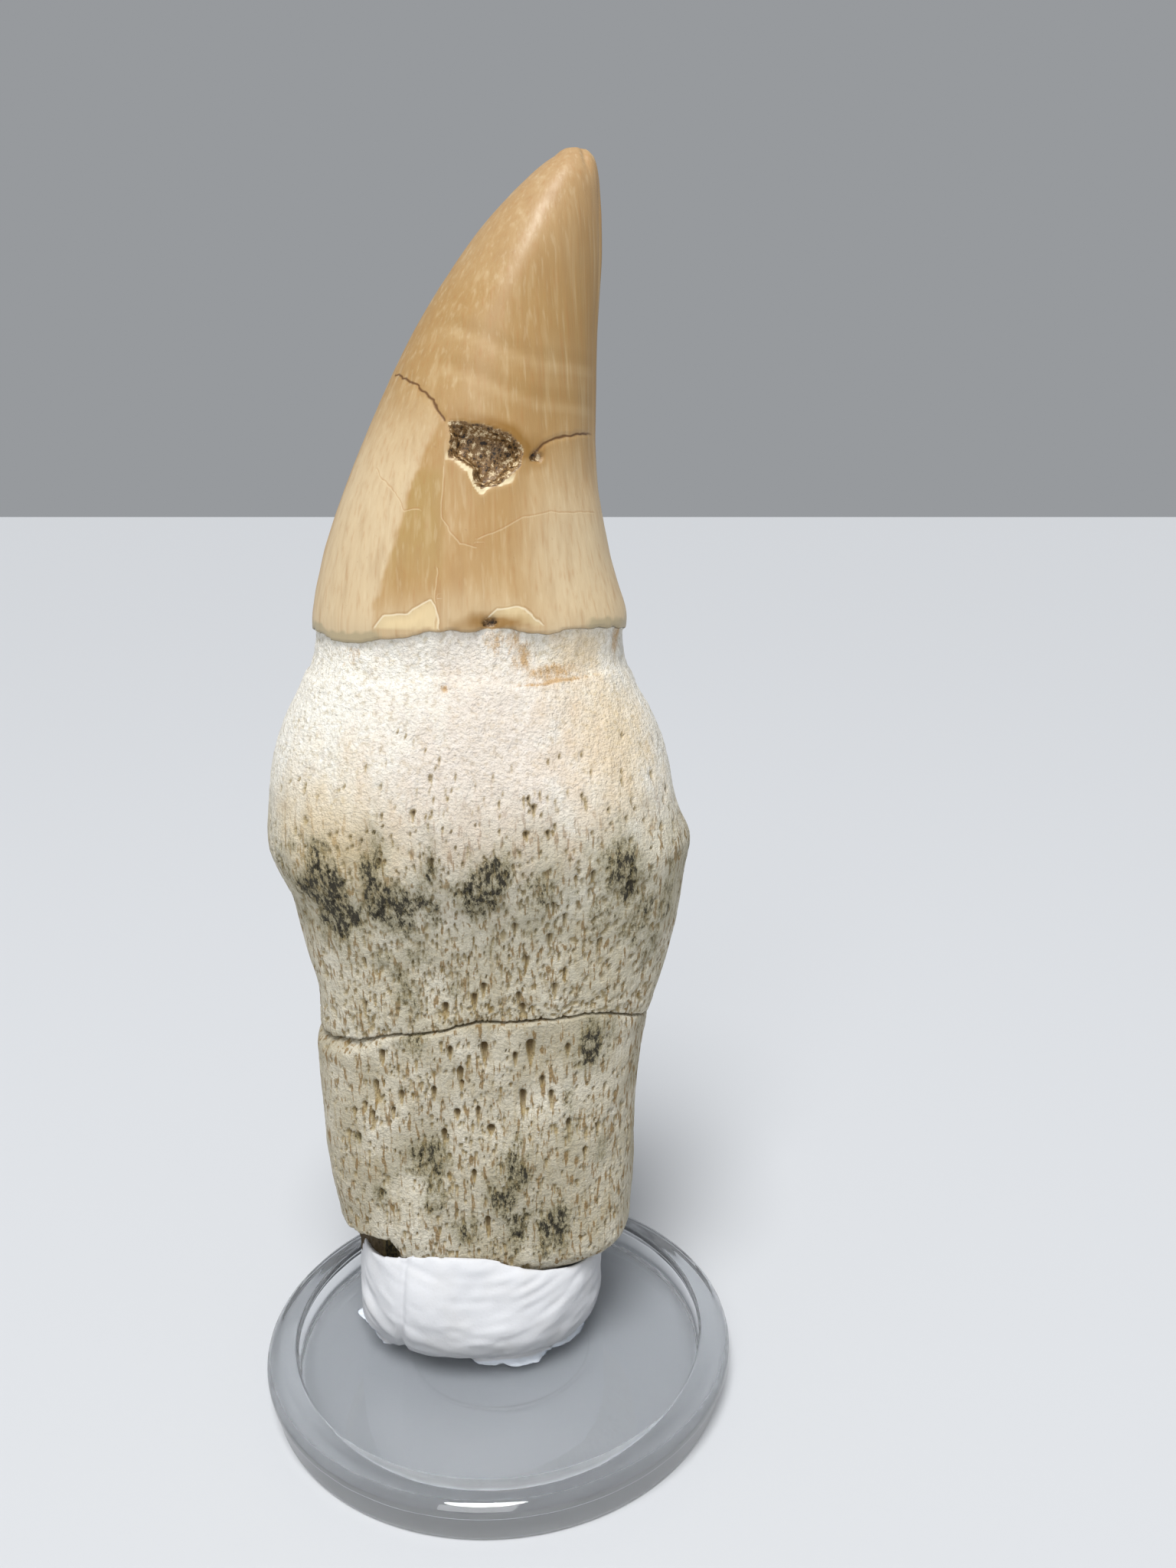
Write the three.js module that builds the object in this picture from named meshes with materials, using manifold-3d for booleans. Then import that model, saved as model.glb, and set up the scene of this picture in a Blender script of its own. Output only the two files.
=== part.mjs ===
// A rooted mosasaur tooth, stood in a blob of white putty on half of a clear round coin capsule.
// Millimetres, +Z up, the front is -Y. The origin is the centre of the clear base's underside.

import * as THREE from "three";
import { mergeVertices } from "three/addons/utils/BufferGeometryUtils.js";
import Module from "manifold-3d";

// Clear base: a shallow dish with a lip all round. Heights are above its flat underside.
const BASE_RADIUS = 22;
const BASE_HEIGHT = 4.2;
const BASE_SIDES = 64;
const FOOT_RADIUS = 21.4;
const FOOT_CHAMFER = 0.4;
const LIP_UNDERSIDE = 2.4;
const LIP_FACE_BOTTOM = 2.7;
const LIP_FACE_TOP = 3.3;
const LIP_SHOULDER_HEIGHT = 3.8;
const LIP_SHOULDER_RADIUS = 21.5;
const LIP_CREST_OUTER_RADIUS = 20.2;
const LIP_CREST_INNER_RADIUS = 19.4;
const RECESS_RADIUS = 19.1;
const RECESS_CORNER_RADIUS = 0.9;
const RECESS_CORNER_STEPS = 3;
const FLOOR_THICKNESS = 1.4;

// Tooth: it stands behind the middle of the dish and leans back a little at its tip.
const TOOTH_TOP = 109.3;
const TOOTH_BOTTOM = 9.8;
const TOOTH_CENTRE_Y = 6;
const TIP_LEAN = 1.4;
const RING_SIDES = 48;

// One row a level: height, left edge, right edge, half depth and squareness. 2 is an ellipse.
const TOOTH_LEVELS = [
  [TOOTH_BOTTOM, -11.4, 8.2, 7.4, 2.8],
  [10.5, -12.2, 9.0, 8.0, 3.0],
  [11.3, -13.4, 10.4, 8.5, 3.2],
  [12, -14.7, 12.2, 8.8, 3.2],
  [13, -15.4, 12.6, 8.9, 3.2],
  [15, -15.9, 12.9, 9.0, 3.1],
  [19, -16.3, 13.1, 9.2, 3.0],
  [24, -16.6, 12.9, 9.4, 3.0],
  [30, -16.8, 13.5, 9.5, 2.9],
  [36, -16.9, 14.6, 9.8, 2.8],
  [42, -17.8, 16.2, 10.5, 2.6],
  [46, -18.5, 17.1, 11.5, 2.5],
  [49, -19.7, 17.5, 12.5, 2.4],
  [51.4, -20.6, 17.9, 13.1, 2.35],
  [54, -20.5, 16.7, 13.3, 2.3],
  [59, -20.0, 15.6, 12.9, 2.25],
  [63, -18.5, 13.9, 12.0, 2.2],
  [66, -16.7, 12.1, 11.1, 2.15],
  [68.5, -15.9, 11.6, 10.6, 2.1],
  [71, -15.5, 11.6, 10.5, 2.1],
  [75, -15.0, 10.7, 10.3, 2.05],
  [80, -13.4, 9.7, 9.8, 2.0],
  [85, -11.3, 8.9, 9.1, 1.93],
  [90, -8.9, 9.0, 8.2, 1.85],
  [94, -6.8, 9.1, 7.4, 1.8],
  [98, -4.4, 9.3, 6.4, 1.75],
  [102, -1.4, 9.5, 5.2, 1.75],
  [105, 1.2, 9.4, 4.0, 1.8],
  [107.6, 4.1, 9.3, 2.5, 1.85],
  [108.7, 5.4, 9.0, 1.4, 1.9],
  [TOOTH_TOP, 6.5, 8.2, 0.6, 2.0],
];

// The enamel ends in a ragged step at the crown's foot. The root's bone starts at a second step.
const ENAMEL_EDGE = 70.4;
const ENAMEL_STEP = 0.25;
const BONE_EDGE = 66.8;
const BONE_STEP = 0.25;
const EDGE_WAVE = 0.5;
const STEP_HEIGHT = 0.4;
const EDGE_REACH = 6;

// Waves round the tooth that make an edge ragged: share of the height, waves in a turn and start angle.
const RAGGED_WAVES = [
  [0.6, 2, 0.8],
  [0.3, 5, 2],
  [0.25, 9, 0],
];

// Lumps all over the root, and far lower ones on the enamel.
const ROOT_LUMP = 0.32;
const CROWN_LUMP = 0.06;

// Crossing waves that add up to the lumps: share of the height, then radians a millimetre in X, Y and Z.
const LUMP_WAVES = [
  [0.35, 0.42, 0.2, 0.31],
  [0.25, -0.3, 0.5, 0.45],
  [0.25, 0.95, 0.7, -0.5],
  [0.15, 0.2, 0.9, 1.3],
];

// Heights of the rings of points from which the crown and the root above the break are lofted.
const CROWN_RINGS = [71.8, 74, 77, 80, 83, 86, 89, 92, 95, 98, 101, 103.5, 105.5, 107, 108.2, 108.9];
const ROOT_RINGS = [32, 35, 38, 41, 44, 46.5, 48.7, 50.2, 51.6, 53.2, 55.5, 58, 60.5, 63, 65.2];
const ROOT_END_RINGS = [10.5, 11.3, 12, 12.9, 15, 18.5, 22, 26, 30, 34, 39];

// The root is broken across and glued: the break's line seen from the front, as pairs of x and height.
const BREAK_LINE = [
  [-26, 31.6],
  [-15.6, 33.4],
  [-12.2, 34.3],
  [-9.8, 35.1],
  [-4.4, 35.9],
  [-1.5, 36.7],
  [4.9, 37],
  [8.4, 37.1],
  [13.3, 35.9],
  [26, 34.2],
];
const BREAK_MIDDLE_HEIGHT = 36.7;
const BREAK_GAP = 0.3;
const BREAK_SLOPE_BACK = 4;
const ROOT_END_SHIFT = [-0.15, -0.15, 0];

// The block of everything below the break reaches well past the tooth on each side.
const BELOW_BREAK_BOTTOM = -5;
const BELOW_BREAK_DEPTH = 60;
const BELOW_BREAK_BACK = 40;

// Chip out of the lower front left corner of the root, as pairs of x and height.
const CHIP_OUTLINE = [
  [-18, 9],
  [-9.5, 9],
  [-9.1, 12.9],
  [-9.9, 14.2],
  [-13.4, 14.1],
  [-18, 13.8],
];
const CHIP_DEPTH = 3.4;
const CHIP_CLEARANCE = 6;

// Hole in the enamel, filled with sandy rock: its outline seen from the front and how deep it is.
const HOLE_OUTLINE = [
  [-2.6, 87.3],
  [-1.6, 87.5],
  [0.6, 87.0],
  [2.3, 86.4],
  [3.4, 85.1],
  [3.1, 83.9],
  [1.6, 82.4],
  [0.1, 82.0],
  [-0.7, 82.5],
  [-0.7, 83.6],
  [-1.7, 84.2],
  [-2.7, 84.6],
];
const HOLE_DEPTH = 2.1;
const HOLE_BOWL_HALF_WIDTH = 5;
const HOLE_BOWL_HALF_HEIGHT = 4.6;
const HOLE_CLEARANCE = 3;

// How rough the cut lumps and pits are, as a share of their radius, and how many waves cross one.
const PIT_ROUGHNESS = 0.12;
const PIT_WAVES = 7;

// Largest pits and open pores on the front, as x, height, half width, half height and depth.
const ROOT_PITS = [
  [4.4, 84.7, 0.8, 0.5, 0.6],
  [0.6, 71.5, 0.9, 0.5, 0.7],
  [-3.4, 65.9, 0.45, 0.45, 0.5],
  [4.1, 55.1, 0.4, 0.6, 0.6],
  [-6.5, 54.6, 0.4, 0.7, 0.6],
  [9.2, 49.5, 0.35, 0.8, 0.6],
  [-4.9, 50.6, 0.4, 1.1, 0.6],
  [-9.3, 50.3, 0.4, 0.8, 0.6],
];
const ROOT_END_PITS = [
  [-9.7, 33.6, 0.45, 0.9, 0.7],
  [-0.7, 34.2, 0.45, 1.1, 0.7],
  [3.4, 33.6, 0.6, 1.5, 0.9],
  [-10.5, 29.9, 0.4, 1.0, 0.7],
  [-8.1, 29.4, 0.4, 0.9, 0.7],
  [-3.0, 31.6, 0.45, 1.3, 0.7],
  [2.6, 29.0, 0.4, 1.8, 0.8],
  [7.1, 29.6, 0.4, 0.9, 0.7],
  [-3.3, 27.9, 0.4, 0.8, 0.7],
  [-0.3, 26.6, 0.6, 0.6, 0.7],
  [6.7, 26.5, 0.4, 1.1, 0.7],
  [-12.4, 25.2, 0.4, 0.9, 0.7],
  [-4.5, 25.4, 0.4, 0.9, 0.7],
  [-0.8, 16.4, 0.4, 1.2, 0.7],
];

// Putty: height, left edge, right edge, front, back and squareness of each level.
const PUTTY_LEVELS = [
  [1.5, -12.9, 7.5, -2.1, 14.8, 2.3],
  [2.8, -13.9, 8.8, -4.0, 16.2, 2.3],
  [4.6, -14.3, 9.6, -5.3, 17.2, 2.4],
  [6.6, -14.3, 9.8, -5.6, 17.5, 2.5],
  [9, -14.0, 9.8, -5.2, 17.3, 2.6],
  [11, -13.6, 9.7, -4.4, 16.9, 2.8],
  [12.4, -13.0, 9.4, -3.5, 16.2, 2.9],
  [13.1, -12.0, 8.6, -2.3, 15.2, 3],
];
const PUTTY_RINGS = [1.5, 2.1, 2.9, 4, 5.4, 7, 8.6, 10, 11.3, 12.3, 13.1];
const PUTTY_FALL = 0.11;
const PUTTY_FALL_START = -3;
const PUTTY_DENT = 0.22;
const PUTTY_DENT_SQUASH = 2;
const PUTTY_FOOT_WAVES = 3;
const SOCKET_GAP = 0.3;
const FOOT_GAP = 0.1;

const wasm = await Module();
wasm.setup();

// Turns a closed three.js geometry into a solid that can be cut and joined.
function solidOf(geometry) {
  geometry.deleteAttribute("normal");
  geometry.deleteAttribute("uv");
  const merged = mergeVertices(geometry, 1e-4);
  return new wasm.Manifold(
    new wasm.Mesh({
      numProp: 3,
      vertProperties: merged.attributes.position.array,
      triVerts: new Uint32Array(merged.index.array),
    }),
  );
}

// Turns a solid back into a geometry with flat facets.
function geometryOf(solid) {
  const mesh = solid.getMesh();
  const geometry = new THREE.BufferGeometry();
  geometry.setAttribute("position", new THREE.BufferAttribute(mesh.vertProperties, 3));
  geometry.setIndex(new THREE.BufferAttribute(mesh.triVerts, 1));
  const faceted = geometry.toNonIndexed();
  faceted.computeVertexNormals();
  return faceted;
}

// Reads one column of a table of levels at a height, with smooth slopes that never overshoot the rows.
function levelValue(levels, column, height) {
  const last = levels.length - 1;
  const z = Math.min(Math.max(height, levels[0][0]), levels[last][0]);
  let i = 0;
  while (i < last - 1 && z > levels[i + 1][0]) i += 1;
  const rise = (k) => (levels[k + 1][column] - levels[k][column]) / (levels[k + 1][0] - levels[k][0]);
  const slopeAt = (k) => {
    if (k === 0) return rise(0);
    if (k === last) return rise(last - 1);
    const before = rise(k - 1);
    const after = rise(k);
    return before * after <= 0 ? 0 : (2 * before * after) / (before + after);
  };
  const span = levels[i + 1][0] - levels[i][0];
  const t = (z - levels[i][0]) / span;
  const start = levels[i][column];
  const end = levels[i + 1][column];
  return (
    start * (2 * t ** 3 - 3 * t ** 2 + 1) +
    end * (3 * t ** 2 - 2 * t ** 3) +
    slopeAt(i) * span * (t ** 3 - 2 * t ** 2 + t) +
    slopeAt(i + 1) * span * (t ** 3 - t ** 2)
  );
}

// A point of a rounded section with four separate reaches: left, right, front and back.
function sectionPoint(section, angle) {
  const middleX = (section.left + section.right) / 2;
  const middleY = (section.front + section.back) / 2;
  const round = (v) => Math.sign(v) * Math.abs(v) ** (2 / section.squareness);
  return new THREE.Vector2(
    middleX + ((section.right - section.left) / 2) * round(Math.cos(angle)),
    middleY + ((section.back - section.front) / 2) * round(Math.sin(angle)),
  );
}

// The tooth's section at a height. grow pushes its edge outwards all round.
function toothSection(height, grow) {
  const crownShare = Math.max(0, (height - ENAMEL_EDGE) / (TOOTH_TOP - ENAMEL_EDGE));
  const middleY = TOOTH_CENTRE_Y + TIP_LEAN * crownShare ** 2;
  const depth = levelValue(TOOTH_LEVELS, 3, height);
  return {
    left: levelValue(TOOTH_LEVELS, 1, height) - grow,
    right: levelValue(TOOTH_LEVELS, 2, height) + grow,
    front: middleY - depth - grow,
    back: middleY + depth + grow,
    squareness: levelValue(TOOTH_LEVELS, 4, height),
  };
}

// Where the tooth's smooth front is at a given x and height.
function frontOfTooth(x, height) {
  const section = toothSection(height, 0);
  const middleX = (section.left + section.right) / 2;
  const share = Math.abs((2 * (x - middleX)) / (section.right - section.left));
  const middleY = (section.front + section.back) / 2;
  const n = section.squareness;
  return middleY - (middleY - section.front) * (1 - Math.min(share, 1) ** n) ** (1 / n);
}

// Slow lumps at a place, between -1 and 1.
function lumps(x, y, z) {
  return LUMP_WAVES.reduce(
    (sum, [share, waveX, waveY, waveZ]) => sum + share * Math.sin(waveX * x + waveY * y + waveZ * z),
    0,
  );
}

// How far a ragged edge strays from its mean height at an angle round the tooth.
function raggedness(angle) {
  return RAGGED_WAVES.reduce(
    (sum, [share, waves, start]) => sum + share * Math.sin(waves * angle + start),
    0,
  );
}

// Closes a stack of rings into one geometry, with a fan over the first and the last.
function loft(rings) {
  const points = rings.flat();
  const sides = rings[0].length;
  const faces = [];
  for (let r = 0; r + 1 < rings.length; r += 1) {
    for (let s = 0; s < sides; s += 1) {
      const a = r * sides + s;
      const b = r * sides + ((s + 1) % sides);
      faces.push(a, b, b + sides, a, b + sides, a + sides);
    }
  }
  const middle = (ring) => ring.reduce((sum, p) => sum.add(p), new THREE.Vector3()).divideScalar(sides);
  const bottom = points.push(middle(rings[0])) - 1;
  const top = points.push(middle(rings[rings.length - 1])) - 1;
  const lastRing = (rings.length - 1) * sides;
  for (let s = 0; s < sides; s += 1) {
    const next = (s + 1) % sides;
    faces.push(bottom, next, s);
    faces.push(top, lastRing + s, lastRing + next);
  }
  const geometry = new THREE.BufferGeometry().setFromPoints(points);
  geometry.setIndex(faces);
  return geometry;
}

// One ring of the tooth. The rings near the two edges rise and fall with the edges.
function toothRing(height, grow) {
  const ring = [];
  const fade = (distance) => Math.max(0, 1 - Math.abs(distance) / EDGE_REACH);
  const near = fade(height - (ENAMEL_EDGE + BONE_EDGE) / 2);
  let step = 0;
  if (height > ENAMEL_EDGE) step = ENAMEL_STEP * fade(height - ENAMEL_EDGE);
  if (height < BONE_EDGE) step = BONE_STEP * fade(BONE_EDGE - height);
  const lump = height > ENAMEL_EDGE ? CROWN_LUMP : ROOT_LUMP;
  for (let s = 0; s < RING_SIDES; s += 1) {
    const angle = (s / RING_SIDES) * 2 * Math.PI;
    const z = height + EDGE_WAVE * near * raggedness(angle);
    const plain = sectionPoint(toothSection(z, 0), angle);
    const p = sectionPoint(toothSection(z, grow + step + lump * lumps(plain.x, plain.y, z)), angle);
    ring.push(new THREE.Vector3(p.x, p.y, z));
  }
  return ring;
}

// Everything below the line of the break, moved up or down by a distance.
function belowBreak(distance) {
  const outline = new THREE.Shape(BREAK_LINE.map(([x, z]) => new THREE.Vector2(x, z + distance)));
  const [leftEnd] = BREAK_LINE[0];
  const [rightEnd] = BREAK_LINE[BREAK_LINE.length - 1];
  outline.lineTo(rightEnd, BELOW_BREAK_BOTTOM);
  outline.lineTo(leftEnd, BELOW_BREAK_BOTTOM);
  const block = new THREE.ExtrudeGeometry(outline, { depth: BELOW_BREAK_DEPTH, bevelEnabled: false });
  block.rotateX(Math.PI / 2);
  block.translate(0, BELOW_BREAK_BACK, 0);
  const frontY = frontOfTooth(0, BREAK_MIDDLE_HEIGHT);
  block.translate(0, -frontY, -BREAK_MIDDLE_HEIGHT);
  block.rotateX(THREE.MathUtils.degToRad(BREAK_SLOPE_BACK));
  block.translate(0, frontY, BREAK_MIDDLE_HEIGHT);
  return solidOf(block);
}

// A rough round lump, used to cut a pit.
function lumpSolid(centre, radii, detail) {
  const ball = new THREE.IcosahedronGeometry(1, detail);
  const position = ball.getAttribute("position");
  for (let i = 0; i < position.count; i += 1) {
    const p = new THREE.Vector3().fromBufferAttribute(position, i);
    const wave = lumps(PIT_WAVES * p.x + centre[0], PIT_WAVES * p.y, PIT_WAVES * p.z + centre[2]);
    p.multiplyScalar(1 + PIT_ROUGHNESS * wave);
    position.setXYZ(i, p.x, p.y, p.z);
  }
  ball.scale(...radii);
  ball.translate(...centre);
  return solidOf(ball);
}

// Cuts each pit of a list into the front of a piece of the tooth.
function withPits(solid, pits) {
  let cut = solid;
  for (const [x, z, halfWidth, halfHeight, depth] of pits) {
    cut = cut.subtract(lumpSolid([x, frontOfTooth(x, z), z], [halfWidth, depth, halfHeight], 0));
  }
  return cut;
}

// A straight-sided plug with an outline given as x and height, between two depths in Y.
function plug(outlinePoints, frontY, backY) {
  const outline = new THREE.Shape(outlinePoints.map(([x, z]) => new THREE.Vector2(x, z)));
  const geometry = new THREE.ExtrudeGeometry(outline, { depth: backY - frontY, bevelEnabled: false });
  geometry.rotateX(Math.PI / 2);
  geometry.translate(0, backY, 0);
  return solidOf(geometry);
}

// The bowl-shaped hole in the enamel, which keeps its true outline at the surface.
function enamelHole() {
  const xs = HOLE_OUTLINE.map(([x]) => x);
  const zs = HOLE_OUTLINE.map(([, z]) => z);
  const centreX = (Math.min(...xs) + Math.max(...xs)) / 2;
  const centreZ = (Math.min(...zs) + Math.max(...zs)) / 2;
  const surfaceY = frontOfTooth(centreX, centreZ);
  const bowlRadii = [HOLE_BOWL_HALF_WIDTH, HOLE_DEPTH, HOLE_BOWL_HALF_HEIGHT];
  const bowl = lumpSolid([centreX, surfaceY, centreZ], bowlRadii, 2);
  return plug(HOLE_OUTLINE, surfaceY - HOLE_CLEARANCE, surfaceY + HOLE_CLEARANCE).intersect(bowl);
}

// Crown and upper root, grown as one piece.
function toothGeometry() {
  const edges = [
    BONE_EDGE - STEP_HEIGHT / 2,
    BONE_EDGE + STEP_HEIGHT / 2,
    (BONE_EDGE + ENAMEL_EDGE) / 2,
    ENAMEL_EDGE - STEP_HEIGHT / 2,
    ENAMEL_EDGE + STEP_HEIGHT / 2,
  ];
  const heights = [...ROOT_RINGS, ...edges, ...CROWN_RINGS, TOOTH_TOP];
  const whole = solidOf(loft(heights.map((height) => toothRing(height, 0))));
  const above = whole.subtract(belowBreak(BREAK_GAP / 2)).subtract(enamelHole());
  return geometryOf(withPits(above, ROOT_PITS));
}

// Lower end of the root, below the break. grow makes the larger copy that the putty's socket is cut with.
function rootEndSolid(grow) {
  const heights = [TOOTH_BOTTOM - grow, ...ROOT_END_RINGS];
  return solidOf(loft(heights.map((height) => toothRing(height, grow)))).translate(ROOT_END_SHIFT);
}

function rootEndGeometry() {
  const [chipRight, chipTop] = [CHIP_OUTLINE[1][0], CHIP_OUTLINE[2][1]];
  const frontY = frontOfTooth(chipRight, chipTop);
  const below = rootEndSolid(0).intersect(belowBreak(-BREAK_GAP / 2));
  const chipped = below.subtract(plug(CHIP_OUTLINE, frontY - CHIP_CLEARANCE, frontY + CHIP_DEPTH));
  return geometryOf(withPits(chipped, ROOT_END_PITS));
}

// One ring of the putty. The foot is ragged, and the upper rings fall towards the right.
function puttyRing(height) {
  const section = {
    left: levelValue(PUTTY_LEVELS, 1, height),
    right: levelValue(PUTTY_LEVELS, 2, height),
    front: levelValue(PUTTY_LEVELS, 3, height),
    back: levelValue(PUTTY_LEVELS, 4, height),
    squareness: levelValue(PUTTY_LEVELS, 5, height),
  };
  const [footHeight] = PUTTY_RINGS;
  const topShare = (height - footHeight) / (PUTTY_RINGS[PUTTY_RINGS.length - 1] - footHeight);
  const ring = [];
  for (let s = 0; s < RING_SIDES; s += 1) {
    const angle = (s / RING_SIDES) * 2 * Math.PI;
    const p = sectionPoint(section, angle);
    const ragged = height === footHeight ? raggedness(PUTTY_FOOT_WAVES * angle) : 0;
    const dent = PUTTY_DENT * (lumps(p.x, p.y, PUTTY_DENT_SQUASH * height) + ragged);
    const fall = PUTTY_FALL * topShare * Math.max(0, p.x - PUTTY_FALL_START);
    const x = p.x + dent * Math.cos(angle);
    const y = p.y + dent * Math.sin(angle);
    ring.push(new THREE.Vector3(x, y, Math.max(height - fall, FLOOR_THICKNESS + FOOT_GAP)));
  }
  return ring;
}

// Putty pressed round the foot of the root.
function puttyGeometry() {
  return geometryOf(solidOf(loft(PUTTY_RINGS.map(puttyRing))).subtract(rootEndSolid(SOCKET_GAP)));
}

// Clear dish: flat underside, lip with a sloping top, rounded inner corner and flat floor.
function clearBaseGeometry() {
  const cornerX = RECESS_RADIUS - RECESS_CORNER_RADIUS;
  const cornerZ = FLOOR_THICKNESS + RECESS_CORNER_RADIUS;
  const corner = [];
  for (let i = 0; i <= RECESS_CORNER_STEPS; i += 1) {
    const angle = (i / RECESS_CORNER_STEPS) * (Math.PI / 2);
    const x = cornerX + RECESS_CORNER_RADIUS * Math.cos(angle);
    const z = cornerZ - RECESS_CORNER_RADIUS * Math.sin(angle);
    corner.push(new THREE.Vector2(x, z));
  }
  const crestToRecess = LIP_CREST_INNER_RADIUS - RECESS_RADIUS;
  const profile = [
    new THREE.Vector2(0, 0),
    new THREE.Vector2(FOOT_RADIUS - FOOT_CHAMFER, 0),
    new THREE.Vector2(FOOT_RADIUS, FOOT_CHAMFER),
    new THREE.Vector2(FOOT_RADIUS, LIP_UNDERSIDE),
    new THREE.Vector2(BASE_RADIUS, LIP_FACE_BOTTOM),
    new THREE.Vector2(BASE_RADIUS, LIP_FACE_TOP),
    new THREE.Vector2(LIP_SHOULDER_RADIUS, LIP_SHOULDER_HEIGHT),
    new THREE.Vector2(LIP_CREST_OUTER_RADIUS, BASE_HEIGHT),
    new THREE.Vector2(LIP_CREST_INNER_RADIUS, BASE_HEIGHT),
    new THREE.Vector2(RECESS_RADIUS, BASE_HEIGHT - crestToRecess),
    ...corner,
    new THREE.Vector2(0, FLOOR_THICKNESS),
  ];
  const dish = new THREE.LatheGeometry(profile, BASE_SIDES);
  dish.rotateX(Math.PI / 2);
  return dish;
}

function meshOf(name, geometry, material) {
  const mesh = new THREE.Mesh(geometry, material);
  mesh.name = name;
  return mesh;
}

const enamelAndBone = new THREE.MeshStandardMaterial({ color: "#d3b284", roughness: 0.4, metalness: 0 });
const bone = new THREE.MeshStandardMaterial({ color: "#c9c0ae", roughness: 0.8, metalness: 0 });
const putty = new THREE.MeshStandardMaterial({ color: "#e9e4db", roughness: 0.7, metalness: 0 });
const clearPlastic = new THREE.MeshStandardMaterial({
  color: "#dfe4ea",
  roughness: 0.08,
  metalness: 0,
  transparent: true,
  opacity: 0.35,
});

const specimen = new THREE.Group();
specimen.add(meshOf("tooth", toothGeometry(), enamelAndBone));
specimen.add(meshOf("root_end", rootEndGeometry(), bone));
specimen.add(meshOf("putty", puttyGeometry(), putty));
specimen.add(meshOf("clear_base", geometryOf(solidOf(clearBaseGeometry())), clearPlastic));

export default specimen;
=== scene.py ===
"""Looks of a rooted fossil mosasaur tooth that white putty holds upright on a clear round dish.

Lengths in the tables and in the mesh arrays are millimetres. Settings and Blender objects are in metres.
"""

from math import cos, pi, radians, sin

import bpy
import numpy as np
from bpy.props import FloatProperty, FloatVectorProperty, IntProperty, PointerProperty
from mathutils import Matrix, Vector
from mathutils.bvhtree import BVHTree


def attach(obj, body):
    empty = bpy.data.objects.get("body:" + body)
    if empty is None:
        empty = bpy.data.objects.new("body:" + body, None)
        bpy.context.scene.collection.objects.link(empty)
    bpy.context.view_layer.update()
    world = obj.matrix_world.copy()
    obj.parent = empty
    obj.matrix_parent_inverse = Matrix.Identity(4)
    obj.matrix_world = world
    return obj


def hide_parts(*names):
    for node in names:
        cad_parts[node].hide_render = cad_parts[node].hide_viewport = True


bl_info = {
    "name": "Fossil tooth on a clear dish",
    "version": (1, 0, 0),
    "blender": (4, 5, 0),
    "location": "3D View > Sidebar > Specimen",
    "description": "Builds the crown, the broken root, the putty and the clear dish",
    "category": "Add Mesh",
}

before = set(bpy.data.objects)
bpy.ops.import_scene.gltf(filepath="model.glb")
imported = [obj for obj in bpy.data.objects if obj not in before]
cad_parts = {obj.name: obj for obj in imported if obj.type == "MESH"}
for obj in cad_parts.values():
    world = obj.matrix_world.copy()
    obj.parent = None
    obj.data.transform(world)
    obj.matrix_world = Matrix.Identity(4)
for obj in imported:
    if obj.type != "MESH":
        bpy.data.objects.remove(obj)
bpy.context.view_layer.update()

MM = 0.001

# Where the camera, the soft box and the main lamp stand, the middle of the tooth that both lamps face,
# and how far below the dish the floor lies.
CAMERA_PLACE = (8.43 * MM, -99.11 * MM, 81.22 * MM)
SOFT_BOX_PLACE = (-0.05, -0.34, 0.3)
KEY_PLACE = (-0.06, -0.38, 0.92)
LAMP_TARGET = (0, 0, 0.055)
FLOOR_DROP = 0.05 * MM

# Heights on the tooth and the gap of the glued break.
TOOTH_TOP = 109.3
ROOT_BOTTOM = 9.8
BONE_EDGE = 66.8
ENAMEL_EDGE = 70.4
BREAK_GAP = 0.3

# Rays that read the frame start this far out, and count only where the surface faces them by this much.
RAY_START = 60.0
LEAST_FACING = 0.28

# Height between the rows of rays that read the frame, where they start and stop on the upper piece,
# and where they stop on the lower root.
READ_SPACING = 0.3
UPPER_READ_FROM = 32
UPPER_READ_TO = TOOTH_TOP - 0.1
LOWER_READ_TO = 38

# Where no hole or break is in the way of the middle line: one span on the lower root and two on the tooth.
MIDDLE_SPANS = [(12.2, 31), (39, 81), (89, UPPER_READ_TO)]
MIDDLE_SPACING = 0.5

# The glued break lies between these heights. Past it a side runs on with the slope of its last rows.
BREAK_HEIGHTS = (30, 42)
SLOPE_ROWS = 12

# About how deep the middle of the tooth lies. The break's heights are read there.
# Its slope is read between two other depths.
MIDDLE_Y = 6.0
BREAK_SLOPE_YS = (2.0, 10.0)

# How much lower the break runs at the right end of the back.
RIGHT_END_DROP = 1.7

# Share by which the mesh columns are closer together at the front than on average.
FRONT_CLOSENESS = 0.3

# Mesh rows of the crown: the level that they start from, then each band's end and the spacing in it.
LAST_ROW = TOOTH_TOP - 0.02
CROWN_START = 38.6
CROWN_BANDS = [
    (56, 0.27),
    (66, 0.36),
    (72.4, 0.22),
    (81, 0.36),
    (88.6, 0.2),
    (104, 0.4),
    (108.2, 0.25),
    (LAST_ROW, 0.1),
]

# The same for the lower root.
FIRST_ROW = ROOT_BOTTOM + 0.03
ROOT_END_LEVEL = 31.0
ROOT_BANDS = [(12.6, 0.16), (16, 0.19), (ROOT_END_LEVEL, 0.2)]

# Rows between the last level and the break, and the height at which the break's edge takes its x and y.
CROWN_BREAK_ROWS = 18
ROOT_BREAK_ROWS = 25
CROWN_EDGE_READ = 36.0
ROOT_EDGE_READ = 35.0

# Rings that close a piece: over the rough break, over the rounded tip and over the root's blunt end.
BREAK_RINGS = 12
TIP_RINGS = 5
ROOT_END_RINGS = 8

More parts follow.
